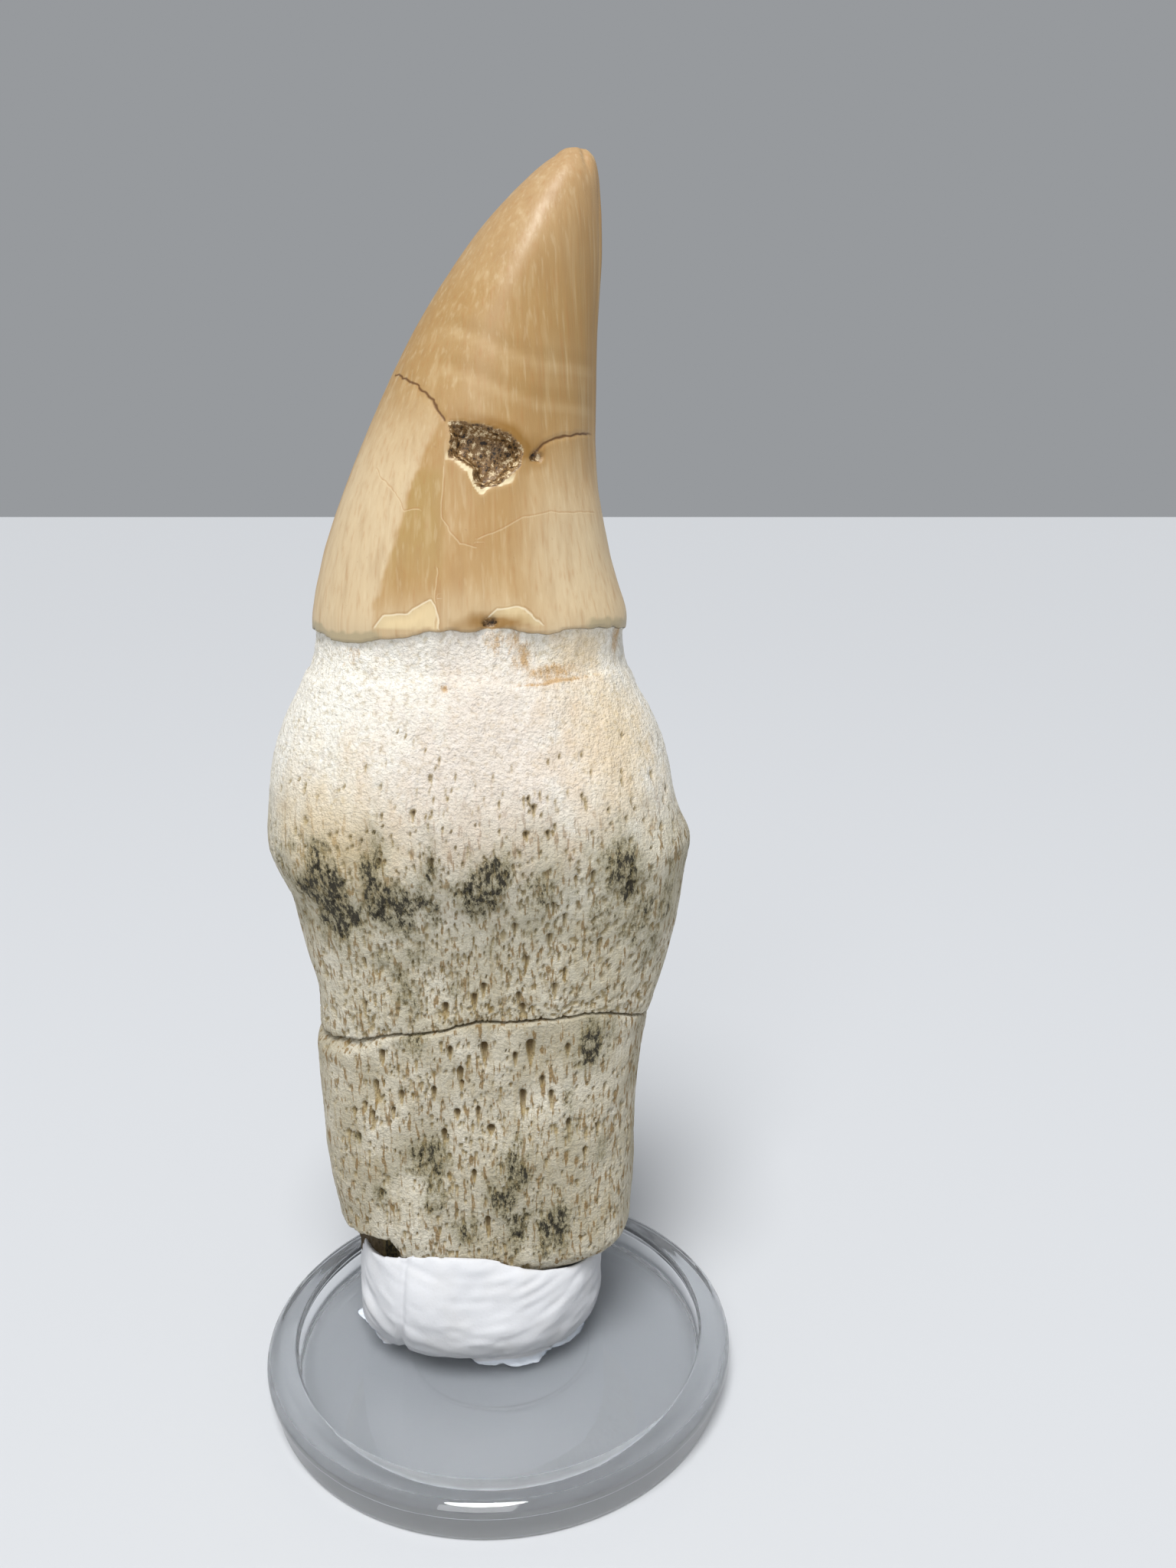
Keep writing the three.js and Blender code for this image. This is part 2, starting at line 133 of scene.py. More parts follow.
# Entries in the random table of the value noise, the factors that mix a cell's place into it,
# and how far apart the patterns of two seeds lie.
NOISE_ENTRIES = 8192
NOISE_FACTORS = (73856093, 19349663, 83492791)
SEED_SHIFT = 31.7

# How high the fine patterns of enamel and bone stand in the light.
FINE_RELIEF = 0.28 * MM

# Stands for a distance past everything, such as that from the back of the tooth to a mark on its front.
FAR = 20.0

# Ragged foot of the enamel across the front: x and height.
ENAMEL_FOOT = [
    (-15.0, 70.5),
    (-12.4, 69.8),
    (-8.9, 70.1),
    (-5.6, 70.8),
    (-2.5, 71.2),
    (0.6, 71.1),
    (4.6, 70.8),
    (7.3, 70.9),
    (11.5, 70.6),
]

# Hole in the enamel on the front: x and height.
HOLE_OUTLINE = [
    (-2.6, 87.3),
    (-1.6, 87.4),
    (0.6, 87.0),
    (2.3, 86.4),
    (3.3, 85.3),
    (3.4, 84.8),
    (3.1, 83.9),
    (1.6, 82.4),
    (0.1, 82.0),
    (-0.6, 82.5),
    (-0.7, 83.6),
    (-1.6, 84.2),
    (-2.6, 84.5),
    (-2.5, 85.7),
]

# Middle and half sizes of the cut that the frame's solid has there, and of the bowl in the hole's floor.
# The rows of rays this close to the cut's middle are bridged from side to side.
HOLE_CUT = (0.4, 84.7, 3.9, 3.5)
HOLE_BOWL = (0.4, 84.9, 4.2, 3.9)
HOLE_REACH = 5.0

# Notch at the lower front left of the root: x and height.
# The frame's solid is cut left of and below the corner.
NOTCH_OUTLINE = [(-18, 8), (-9.5, 8), (-9.1, 12.9), (-9.9, 14.2), (-13.4, 14.1), (-18, 13.8)]
NOTCH_CORNER = (-8.8, 14.6)
NOTCH_DEPTH = 1.8

# Small pits in the enamel and one in the bone below it: x, height, half width and half height.
PITS = [(4.3, 84.6, 0.55, 0.4), (0.6, 71.7, 0.7, 0.42), (-3.2, 66.4, 0.42, 0.42)]

# How much higher than the frame's solid the putty's lip stands across the front: x and rise.
LIP_RISE = [(-14, 1.1), (-4.4, 1.1), (-1.2, 0.95), (1.3, 0.4), (4, 0.0), (7, 0.2), (9.3, 0.9), (12, 1.0)]

# Open brown cracks, closed ones drawn pale with a painted highlight along their raised edge, and the edges
# of lifted flakes in the enamel: x and height along each.
CRACKS = [
    [(-7.5, 91.4), (-5.8, 90.5), (-4.4, 89.4), (-3.3, 88.3), (-2.8, 87.3)],
    [(4.1, 84.8), (4.9, 85.7), (6.0, 86.2), (8.7, 86.7)],
]
HAIRLINES = [
    [(-2.9, 83.9), (-3.1, 81.8), (-3.2, 79.8), (-2.4, 78.6), (-1.7, 77.9), (-0.4, 77.6)],
    [(-0.4, 78.2), (1.5, 78.9), (3.2, 79.9), (5.4, 80.3), (9.0, 80.2)],
    [(-3.6, 76.0), (-3.7, 73.7), (-3.8, 71.3)],
    [(-8.8, 83.6), (-7.0, 81.7), (-6.2, 80.4), (-4.9, 80.5)],
]
FLAKES = [
    [(-8.9, 71.1), (-8.1, 72.1), (-6.8, 72.4), (-5.9, 72.4), (-5.5, 72.8), (-4.0, 73.6), (-3.4, 71.3)],
    [(0.6, 72.3), (1.2, 72.8), (2.9, 72.9), (3.9, 72.3), (4.6, 71.3)],
]

# A growth line in the enamel, and how far above it the next one runs.
GROWTH_LINE = [(-4.5, 91.9), (-2.6, 91.4), (-0.4, 90.7), (2.0, 89.6), (4.4, 88.9), (9.5, 88.6)]
GROWTH_STEP = 3.1

# Edge of the paler left facet, from the bottom up: x and height. An olive patch lies right of its foot.
FACET_EDGE = [
    (-8.6, 73.0),
    (-7.3, 76.8),
    (-5.9, 81.1),
    (-5.15, 83.1),
    (-4.6, 84.5),
    (-3.1, 87.3),
    (-5.8, 90.5),
    (-7.5, 91.4),
]
OLIVE_RIGHT = -3.1
OLIVE_TOP = 83.6

# Soft ridge that runs down from the tip between the left and right facets: x and height.
TIP_RIDGE = [(6.9, 106.3), (6.4, 103.7), (3.3, 99.7), (0.0, 94.9), (-2.0, 91.0)]

# Narrow upright grooves, in the tip and in the putty: x at a height, that height, lean and half width.
TIP_NICK = (8.1, 109, -0.2, 0.28)
PUTTY_CREASE = (-9.0, 7, 0.05, 0.35)

# Where marks fade in and out again: the thin brown line along the ledge across the front, and the others up
# the tooth.
LEDGE_BAND = (1.5, 3.5, 8, 10)
STAIN_BELT = (42, 46, 50, 54)
KEEL_BAND = (72, 76, 104, 108)
# Band of the painted shade on the crown's right side.
RIGHT_SHADE_BAND = (84, 90, 102, 107)

# Soft spots of colour on the front: x, height, half width, half height and strength.
COLOUR_SPOTS = {
    "amber": [(1.5, 71.7, 1.6, 0.45, 0.9), (4.2, 84.9, 0.9, 0.7, 0.6)],
    "ochre": [(10.5, 62.2, 3.2, 4.2, 1.0), (-12.9, 54.7, 3.6, 3.6, 0.8), (7.4, 69.2, 2.6, 1.3, 1.0)],
    "pink": [(0.5, 60.9, 5.5, 5.5, 1.0)],
    "rust": [
        (2.2, 70.4, 1.4, 0.8, 0.8),
        (3.4, 69.3, 1.0, 1.0, 0.7),
        (5.6, 67.8, 1.6, 0.5, 0.8),
        (10.9, 69.9, 0.5, 1.3, 0.9),
        (-11.6, 68.7, 1.6, 0.6, 0.5),
    ],
}

# Grey-green stains on the front of the upper root: x, height, half width, half height and strength.
UPPER_STAINS = [
    (-13.9, 48.5, 2.7, 3.8, 1.0),
    (-9.6, 51.0, 0.9, 2.9, 1.0),
    (-9.3, 48.3, 1.1, 2.1, 1.0),
    (-7.2, 47.6, 1.1, 2.5, 1.0),
    (-4.5, 51.8, 0.5, 2.1, 0.9),
    (-4.9, 48.5, 0.9, 2.1, 1.0),
    (-4.5, 47.1, 0.6, 1.0, 0.9),
    (0.1, 50.8, 1.7, 2.1, 1.0),
    (-0.6, 49.2, 1.9, 1.7, 1.0),
    (0.5, 48.3, 0.9, 0.8, 0.9),
    (4.5, 50.6, 1.1, 0.8, 0.9),
    (4.7, 49.3, 0.8, 1.3, 0.9),
    (7.1, 49.3, 0.9, 1.3, 0.6),
    (10.6, 51.8, 1.1, 1.7, 0.9),
    (11.9, 49.9, 1.4, 2.9, 1.0),
    (13.1, 46.7, 1.5, 2.9, 0.8),
    (13.8, 43.1, 1.1, 2.1, 0.8),
    (-8.1, 41.3, 0.8, 1.0, 0.8),
    (-7.3, 39.2, 0.8, 1.9, 0.8),
    (-6.5, 43.1, 1.1, 0.8, 0.8),
    (-9.3, 42.9, 0.8, 0.8, 0.8),
    (0.3, 44.0, 0.6, 0.7, 0.5),
    (-3.2, 40.0, 0.6, 0.7, 0.7),
    (-18.3, 50.5, 0.6, 1.3, 0.8),
    (-16.5, 52.6, 0.6, 0.7, 0.8),
]

# The same on the lower root.
LOWER_STAINS = [
    (-7.1, 34.6, 1.1, 1.0, 0.8),
    (8.9, 34.3, 1.2, 1.9, 1.0),
    (8.6, 33.3, 1.4, 1.5, 0.7),
    (6.7, 28.3, 0.4, 1.7, 0.7),
    (6.9, 26.2, 0.5, 1.3, 0.7),
    (-6.5, 23.1, 1.5, 1.5, 0.9),
    (-6.7, 22.0, 1.7, 0.8, 0.8),
    (-5.4, 21.4, 0.9, 1.9, 0.9),
    (-10.6, 19.1, 0.6, 0.8, 0.8),
    (-5.7, 18.9, 0.9, 0.8, 0.8),
    (2.2, 25.1, 0.5, 1.0, 0.8),
    (1.9, 22.5, 1.1, 1.9, 1.0),
    (0.9, 18.6, 1.1, 1.7, 1.0),
    (2.0, 16.6, 1.2, 1.7, 1.0),
    (1.5, 14.5, 0.6, 1.9, 0.8),
    (5.0, 16.0, 1.5, 2.1, 1.0),
    (5.7, 14.7, 0.9, 1.2, 0.9),
    (-3.1, 16.2, 0.9, 1.2, 0.9),
    (9.6, 23.0, 0.4, 1.0, 0.7),
    (-12.5, 24.7, 0.4, 0.4, 0.9),
]

# Largest open pores on the front: x, height of the head, half width and length.
UPPER_PORES = [
    (4.0, 57.1, 0.26, 0.9),
    (-5.7, 56.8, 0.24, 0.8),
    (3.5, 57.7, 0.2, 0.6),
    (5.1, 54.9, 0.24, 0.8),
    (9.0, 51.0, 0.24, 1.0),
    (3.5, 55.0, 0.26, 0.9),
    (-8.8, 52.5, 0.24, 0.9),
    (-4.3, 52.8, 0.24, 1.2),
    (-1.4, 39.4, 0.34, 1.8),
    (-4.0, 38.5, 0.34, 1.4),
    (3.2, 43.3, 0.24, 1.2),
    (6.4, 47.3, 0.22, 1.2),
    (5.2, 45.3, 0.24, 1.4),
    (9.5, 44.6, 0.22, 1.2),
    (2.8, 38.4, 0.3, 1.2),
    (-10.9, 42.8, 0.24, 1.2),
    (-11.2, 38.4, 0.26, 1.6),
    (2.2, 46.6, 0.22, 1.4),
    (5.6, 48.4, 0.22, 0.9),
    (5.5, 40.6, 0.26, 1.6),
    (6.4, 41.9, 0.22, 1.2),
    (-0.6, 40.5, 0.26, 1.4),
    (2.4, 39.6, 0.24, 1.6),
]
LOWER_PORES = [
    (-9.8, 33.6, 0.32, 1.5),
    (-0.7, 34.6, 0.36, 1.9),
    (3.4, 34.8, 0.46, 2.4),
    (6.7, 34.4, 0.28, 1.2),
    (-10.6, 30.6, 0.26, 2.2),
    (-8.2, 29.8, 0.28, 1.3),
    (-5.3, 30.5, 0.28, 1.4),
    (-2.9, 32.2, 0.3, 1.6),
    (-2.8, 30.9, 0.24, 1.0),
    (2.6, 29.9, 0.34, 2.6),
    (4.3, 31.3, 0.26, 1.2),
    (5.1, 29.8, 0.26, 2.0),
    (6.7, 26.9, 0.26, 2.0),
    (-3.3, 28.0, 0.32, 0.9),
    (-1.4, 28.4, 0.24, 1.8),
    (-0.3, 26.5, 0.4, 0.8),
    (-12.8, 27.6, 0.24, 1.0),
    (-11.7, 28.4, 0.24, 1.2),
    (-11.0, 27.6, 0.26, 2.2),
    (-9.0, 28.2, 0.24, 1.2),
    (-4.5, 26.0, 0.28, 1.6),
    (-13.5, 25.2, 0.24, 1.2),
    (-12.5, 25.0, 0.3, 0.9),
    (-0.8, 17.0, 0.28, 2.2),
    (-1.9, 22.0, 0.26, 1.2),
    (-10.5, 19.6, 0.26, 1.0),
    (9.3, 26.0, 0.24, 1.4),
    (2.0, 33.8, 0.26, 1.3),
    (-3.7, 34.4, 0.28, 1.3),
    (8.2, 23.8, 0.22, 1.4),
]

# Where the putty's thin ragged foot ends on the floor of the dish, across the front: x and y.
PUTTY_FOOT = [
    (-14.8, 4.7),
    (-14.1, 3.4),
    (-13.1, 2.2),
    (-12.1, 0.8),
    (-10.6, -0.4),
    (-9.95, 0.0),
    (-9.6, 0.85),
    (-8.5, -0.4),
    (-6.9, -1.1),
    (-5.1, -1.5),
    (-3.2, -1.9),
    (-2.6, -2.4),
    (-2.05, -3.1),
    (0.6, -3.15),
    (3.6, -3.0),
    (4.2, -2.0),
    (4.9, -1.0),
    (6.6, -0.2),
    (7.6, 1.65),
    (8.2, 3.4),
]
PUTTY_MIDDLE = (-2.7, 6.4)

DISH_RADIUS = 22.0

# Half of the dish's section, from the axis along the underside, up the lip and back along the floor:
# radius, height and how much the corner is rounded.
DISH_SECTION = [
    (0.0, 0.0, 0.0),
    (21.2, 0.0, 0.3),
    (21.4, 0.4, 0.1),
    (21.4, 2.4, 0.12),
    (DISH_RADIUS, 2.7, 0.12),
    (DISH_RADIUS, 3.3, 0.15),
    (21.5, 3.8, 0.3),
    (20.2, 4.2, 0.3),
    (19.4, 4.2, 0.15),
    (19.1, 3.9, 0.1),
    (19.1, 1.4, 0.9),
    (9.0, 1.4, 0.05),
    (8.7, 1.32, 0.15),
    (8.4, 1.4, 0.05),
    (0.0, 1.4, 0.0),
]


def to_linear(code):
    """Linear colour of an sRGB hex value."""
    parts = [int(code[start : start + 2], 16) / 255 for start in (1, 3, 5)]
    return tuple(part / 12.92 if part <= 0.04045 else ((part + 0.055) / 1.055) ** 2.4 for part in parts)


def opaque(code):
    """The same with a fourth value, for a socket."""
    return (*to_linear(code), 1.0)


def colour_setting(name, code, description):
    """A colour that a user may change, given as an sRGB hex value."""
    return FloatVectorProperty(
        name=name, description=description, default=to_linear(code), subtype="COLOR", min=0, max=1
    )


class ToothSettings(bpy.types.PropertyGroup):
    """Sizes and colours of the crown and of both pieces of the root."""

    crown_columns: IntProperty(
        name="Columns", description="Mesh columns round the crown", default=352, min=64
    )
    root_columns: IntProperty(
        name="Root columns", description="Mesh columns round the lower root", default=480, min=64
    )
    hole_depth: FloatProperty(
        name="Hole depth", description="Depth of the hole in the enamel", default=1.5 * MM, unit="LENGTH"
    )
    enamel_step: FloatProperty(
        name="Enamel step", description="Enamel's thickness at its foot", default=0.16 * MM, unit="LENGTH"
    )
    pore_depth: FloatProperty(
        name="Pore depth", description="Depth of the largest open pores", default=0.55 * MM, unit="LENGTH"
    )
    enamel: colour_setting("Enamel", "#B38F5D", "Caramel of the crown")
    bone: colour_setting("Bone", "#C6BEA8", "Cream of the upper root")
    # The lower root's colour is the bone's cream painted greyer and darker as shade, since the light falls
    # from above.
    shaded_lower_bone: colour_setting("Lower bone", "#B5AC95", "Greyer cream of the lower root")


class PuttySettings(bpy.types.PropertyGroup):
    """Size and colour of the putty."""

    mesh_size: FloatProperty(
        name="Mesh size", description="Width of one face of the putty", default=0.27 * MM, unit="LENGTH"
    )
    stroke_depth: FloatProperty(
        name="Stroke depth", description="Depth of the finger strokes", default=0.16 * MM, unit="LENGTH"
    )
    colour: colour_setting("Putty", "#CFD0D3", "White of the putty")


class DishSettings(bpy.types.PropertyGroup):
    """Finish of the clear dish."""

    steps: IntProperty(name="Steps", description="Mesh steps round the dish", default=180, min=32)
    waviness: FloatProperty(
        name="Waviness", description="How uneven the moulded lip is", default=0.05 * MM, unit="LENGTH"
    )
    tint: colour_setting("Plastic", "#FAFCFE", "Faint cold tint of the clear plastic")


class StageSettings(bpy.types.PropertyGroup):
    """Camera, floor and light."""

    focal_length: FloatProperty(
        name="Focal length", description="Focal length in mm on a 36 mm high frame", default=27.07, min=1
    )
    tilt: FloatProperty(
        name="Tilt", description="How far the camera looks down", default=radians(13.52), subtype="ANGLE"
    )
    floor: colour_setting("Floor", "#C9CBCE", "Plain pale floor")
    key_power: FloatProperty(name="Key light", description="Strength of the main light", default=2.9)
    box_power: FloatProperty(name="Soft box", description="Power of the soft box in watts", default=0.5)
    fill_power: FloatProperty(name="Fill light", description="Strength of the light all round", default=0.38)


def smoothstep(low, high, value):
    """Goes smoothly from 0 at low to 1 at high. High may be the smaller of the two."""
    share = np.clip((value - low) / (high - low), 0, 1)
    return share * share * (3 - 2 * share)


def band(value, ends):
    """Goes smoothly from 0 to 1 between the first two of four ends, and back to 0 between the last two."""
    start, full, fall, end = ends
    return smoothstep(start, full, value) * smoothstep(end, fall, value)


def value_noise(places, size, seed):
    """Smooth random values from -1 to 1. Size is the width of a lump, one number or one for each axis."""
    scaled = places / np.broadcast_to(np.asarray(size, float), (3,)) + SEED_SHIFT * seed
    cell = np.floor(scaled).astype(np.int64)
    part = scaled - cell
    part = part * part * (3 - 2 * part)
    table = np.random.default_rng(seed).uniform(-1, 1, NOISE_ENTRIES)
    total = np.zeros(places.shape[:-1])
    for corner in range(8):
        step = np.array([corner & 1, corner >> 1 & 1, corner >> 2])
        x, y, z = np.moveaxis((cell + step) * NOISE_FACTORS, -1, 0)
        share = np.prod(np.where(step == 1, part, 1 - part), axis=-1)
        total += share * table[(x ^ y ^ z) % NOISE_ENTRIES]
    return total


def fractal(places, size, seed, layers=3):
    """Value noise in layers, each half as wide and half as high as the last."""
    total = np.zeros(places.shape[:-1])
    for layer in range(layers):
        total += value_noise(places, np.asarray(size, float) / 2**layer, seed + layer) / 2**layer
    return total / 1.5


def smoothed(grid, across, up):
    """A grid averaged many times round its columns and along its rows, then given back what it lost."""

    def averaged(values):
        for _ in range(across):
            values = (np.roll(values, 1, 1) + 2 * values + np.roll(values, -1, 1)) / 4
        for _ in range(up):
            padded = np.pad(values, ((1, 1), (0, 0)), mode="reflect", reflect_type="odd")
            values = (padded[:-2] + 2 * values + padded[2:]) / 4
        return values

    soft = averaged(grid)
    return soft + averaged(grid - soft)


def groove(x, z, place):
    """1 along the middle of a narrow leaning groove, falling to 0 on both sides of it."""
    groove_x, groove_z, lean, half_width = place
    return np.exp(-(((x - groove_x - lean * (z - groove_z)) / half_width) ** 2))


def line_offset(x, z, line):
    """Signed distance to a line of points, and 1 beside the line but 0 past its ends."""
    nearest = np.full(x.shape, np.inf)
    signed = np.zeros(x.shape)
    beside = np.zeros(x.shape)
    last = len(line) - 2
    for part, ((x0, z0), (x1, z1)) in enumerate(zip(line[:-1], line[1:])):
        run, rise = x1 - x0, z1 - z0
        along = ((x - x0) * run + (z - z0) * rise) / (run * run + rise * rise)
        held = np.clip(along, 0, 1)
        off_x, off_z = x - x0 - held * run, z - z0 - held * rise
        distance = np.hypot(off_x, off_z)
        past_end = ((part == 0) & (along < 0)) | ((part == last) & (along > 1))
        closer = distance < nearest
        nearest = np.where(closer, distance, nearest)
        signed = np.where(closer, np.sign(run * off_z - rise * off_x) * distance, signed)
        beside = np.where(closer, np.where(past_end, 0.0, 1.0), beside)
    return signed, beside


def nearest_line(x, z, lines):
    """Signed distance to the nearest of several lines, and 1 close beside that line but 0 elsewhere."""
    offset = np.full(x.shape, FAR)
    near = np.zeros(x.shape)
    for line in lines:
        signed, beside = line_offset(x, z, line)
        closer = np.abs(signed) < np.abs(offset)
        offset = np.where(closer, signed, offset)
        near = np.where(closer, beside * smoothstep(1.0, 0.5, np.abs(signed)), near)
    return offset, near


def outline_offset(x, z, outline):
    """Distance to a closed outline, negative inside it."""
    nearest = np.full(x.shape, np.inf)
    inside = np.zeros(x.shape, bool)
    for (x0, z0), (x1, z1) in zip(outline, outline[1:] + outline[:1]):
        run, rise = x1 - x0, z1 - z0
        held = np.clip(((x - x0) * run + (z - z0) * rise) / (run * run + rise * rise), 0, 1)
        nearest = np.minimum(nearest, np.hypot(x - x0 - held * run, z - z0 - held * rise))
        if rise != 0:
            crosses = ((z0 > z) != (z1 > z)) & (x < x0 + (z - z0) * run / rise)
            inside ^= crosses
    return np.where(inside, -nearest, nearest)


def read_points(mesh, kind="co"):
    """The places or the normals of the points of a mesh, one row each."""
    values = np.empty(len(mesh.vertices) * 3, np.float32)
    mesh.vertices.foreach_get(kind, values)
    return values.reshape(-1, 3)


def write_places(mesh, places):
    """Puts the points of a mesh at places in millimetres."""
    mesh.vertices.foreach_set("co", (places * MM).astype(np.float32).ravel())


def cad_surface(node):
    """The faces of a frame node, in millimetres, as something that rays can be cast at."""
    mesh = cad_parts[node].data
    faces = [tuple(face.vertices) for face in mesh.polygons]
    return BVHTree.FromPolygons((read_points(mesh) / MM).tolist(), faces)


def reach(surface, start, direction):
    """How far a ray travels from its start to the surface."""
    return surface.ray_cast(Vector(start), Vector(direction))[3]


def middle_line(tooth, root_end):
    """Heights, and the middle of the tooth's section at each, read where no hole or break is in the way."""
    readings = []
    y = MIDDLE_Y
    for surface, (low, high) in zip((root_end, tooth, tooth), MIDDLE_SPANS):
        for height in np.arange(low, high, MIDDLE_SPACING):
            left = reach(surface, (-RAY_START, y, height), (1, 0, 0)) - RAY_START
            right = RAY_START - reach(surface, (RAY_START, y, height), (-1, 0, 0))
            x = (left + right) / 2
            front = reach(surface, (x, -RAY_START, height), (0, 1, 0)) - RAY_START
            back = RAY_START - reach(surface, (x, RAY_START, height), (0, -1, 0))
            y = (front + back) / 2
            readings.append((height, x, y))
    heights, xs, ys = np.array(readings).T
    even = np.arange(heights[0], heights[-1], MIDDLE_SPACING)
    middles = np.stack([np.interp(even, heights, xs), np.interp(even, heights, ys)], axis=-1)
    return np.column_stack([even, smoothed(middles, 0, 60)])


def middle_at(middle, heights):
    """x and y of the middle line at one height or at many."""
    return [np.interp(heights, middle[:, 0], middle[:, axis]) for axis in (1, 2)]


def column_angles(columns):
    """Angles round the tooth that start and end at the back and stand closer together at the front."""
    turn = pi / 2 + np.arange(columns) / columns * 2 * pi
    return turn - FRONT_CLOSENESS * np.cos(turn)


def spaced_heights(start, bands):
    """Heights from a start through bands, each given as its end and the spacing in it."""
    heights = [start]
    for end, spacing in bands:
        steps = max(1, round((end - heights[-1]) / spacing))
        heights.extend(np.linspace(heights[-1], end, steps + 1)[1:])
    return np.array(heights)


def side_radii(surface, middle, heights, angles, across, up):
    """Smooth distances from the middle line out to a frame node. Holes, cuts and notches are bridged."""
    radii = np.full((len(heights), len(angles)), np.nan)
    for row, height in enumerate(heights):
        centre = Vector((*middle_at(middle, height), height))
        for column, angle in enumerate(angles):
            outward = Vector((cos(angle), sin(angle), 0))
            start = centre + RAY_START * outward
            place, normal, _, distance = surface.ray_cast(start, -outward)
            if place is None or normal.dot(outward) < LEAST_FACING or distance > RAY_START:
                continue
            if place.y < centre.y and over_cut(place.x, place.z):
                continue
            radii[row, column] = RAY_START - distance
    for row, height in enumerate(heights):
        known = ~np.isnan(radii[row])
        if abs(height - HOLE_CUT[1]) < HOLE_REACH and not known.all():
            radii[row] = np.interp(angles, angles[known], radii[row][known])
    for column in range(len(angles)):
        known = np.flatnonzero(~np.isnan(radii[:, column]))
        radii[:, column] = np.interp(heights, heights[known], radii[known, column])
        for end, step in ((known[0], SLOPE_ROWS), (known[-1], -SLOPE_ROWS)):
            if BREAK_HEIGHTS[0] < heights[end] < BREAK_HEIGHTS[1]:
                inner = end + step
                slope = (radii[inner, column] - radii[end, column]) / (heights[inner] - heights[end])
                past = (heights - heights[end]) * step < 0
                radii[past, column] += slope * (heights[past] - heights[end])
    return smoothed(radii, across, up)


def over_cut(x, z):
    """Whether a place on the front lies over the hole in the enamel or the notch at the root's foot."""
    hole_x, hole_z, half_width, half_height = HOLE_CUT
    over_hole = ((x - hole_x) / half_width) ** 2 + ((z - hole_z) / half_height) ** 2 < 1
    over_notch = x < NOTCH_CORNER[0] and z < NOTCH_CORNER[1]
    return over_hole or over_notch


def break_table(tooth):
    """The underside of the upper root: its heights by x at one depth, and the slope towards the back."""
    readings = []
    for x in np.arange(-16.0, 14.1, 0.5):
        place, normal, _, _ = tooth.ray_cast(Vector((x, MIDDLE_Y, 0)), Vector((0, 0, 1)))
        if place is not None and normal.z < -0.8:
            readings.append((x, place.z))
    xs, heights = np.array(readings).T
    near, far = BREAK_SLOPE_YS
    rise = reach(tooth, (0, far, 0), (0, 0, 1)) - reach(tooth, (0, near, 0), (0, 0, 1))
    return xs, heights, rise / (far - near)


def break_height(table, x, y):
    """Height of the rough break over a place, shared by both its faces."""
    xs, heights, slope = table
    flat = np.stack([x, y, np.zeros_like(x)], axis=-1)
    rough = 0.2 * value_noise(flat, 2.4, 51) + 0.12 * value_noise(flat, 0.9, 52)
    right_end = RIGHT_END_DROP * smoothstep(9, 13.5, x) * smoothstep(-3, 5, y)
    return np.interp(x, xs, heights) + slope * (y - MIDDLE_Y) + rough - right_end


def break_edge(table, middle, radii_rows, radii, height, angles):
    """Height of the break over each column of a side, with the side's x and y taken at one height."""
    ring = grid_places(middle, radii_rows, radii, np.full((1, len(angles)), height), angles)[0]
    return break_height(table, ring[:, 0], ring[:, 1])


def crumbled(places, from_break, seed):
    """How far in mm the side has crumbled away next to the break."""
    return (0.12 + 0.2 * value_noise(places, 1.1, seed)) * np.exp(-np.maximum(from_break, 0) / 0.3)


def grid_places(middle, radii_rows, radii, heights, angles):
    """Places on the side of the tooth, for heights given by row and column."""
    x, y = middle_at(middle, heights)
    reached = np.empty_like(heights)
    for column in range(len(angles)):
        reached[:, column] = np.interp(heights[:, column], radii_rows, radii[:, column])
    return np.stack([x + reached * np.cos(angles), y + reached * np.sin(angles), heights], axis=-1)


def grid_normals(places):
    """Outward normals of a grid that closes on itself round its columns."""
    across = np.roll(places, -1, 1) - np.roll(places, 1, 1)
    up = np.gradient(places, axis=0)
    normals = np.cross(across, up)
    return normals / np.linalg.norm(normals, axis=-1, keepdims=True)


def nearest_front(places, normals, x, z):
    """Row and column of the front place nearest to an x and a height."""
    distance = (places[..., 0] - x) ** 2 + (places[..., 2] - z) ** 2 + 1e3 * (normals[..., 1] > -0.05)
    return np.unravel_index(np.argmin(distance), distance.shape)


def blot(places, centre, half_width, half_height, softness):
    """How much each place belongs to a round blot. Softness is the middle's value and how fast it falls."""
    offset = places - centre
    across = (offset[..., 0] ** 2 + offset[..., 1] ** 2) / half_width**2
    spread = np.sqrt(across + (offset[..., 2] / half_height) ** 2)
    return softness[0] - softness[1] * spread


def blots(places, normals, spots, seed):
    """Soft granular blots with ragged edges. A spot is x, height, half width, half height and strength."""
    ragged = 0.55 * fractal(places, (1.3, 1.3, 2.2), seed, 4)
    total = np.zeros(places.shape[:2])
    for x, z, half_width, half_height, strength in spots:
        centre = places[nearest_front(places, normals, x, z)]
        shape = blot(places, centre, half_width, half_height, (1.4, 0.6))
        total = np.maximum(total, strength * np.clip(shape + ragged, 0, 1))
    return total


def back_blots(places, low, high, count, seed):
    """Blots of the same kind for the sides and the back, which the front's own spots leave bare."""
    chance = np.random.default_rng(seed)
    rows = np.flatnonzero((places[:, 0, 2] > low) & (places[:, 0, 2] < high))
    columns = places.shape[1]
    ragged = 0.55 * fractal(places, (1.3, 1.3, 2.2), seed, 4)
    total = np.zeros(places.shape[:2])
    for _ in range(count):
        row = chance.choice(rows)
        column = int(chance.uniform(-0.2, 0.2) * columns) % columns
        half_width, half_height = chance.uniform(0.6, 1.8), chance.uniform(0.9, 2.8)
        shape = blot(places, places[row, column], half_width, half_height, (1.1, 0.8))
        total = np.maximum(total, np.clip(shape + ragged, 0, 1))
    return total


def placed_pores(places, normals, pores):
    """Pores given by x and height on the front, as row, column, half width, length and depth share."""
    placed = []
    for x, z, half_width, length in pores:
        placed.append((*nearest_front(places, normals, x, z), half_width, length, 1.0))
    return placed


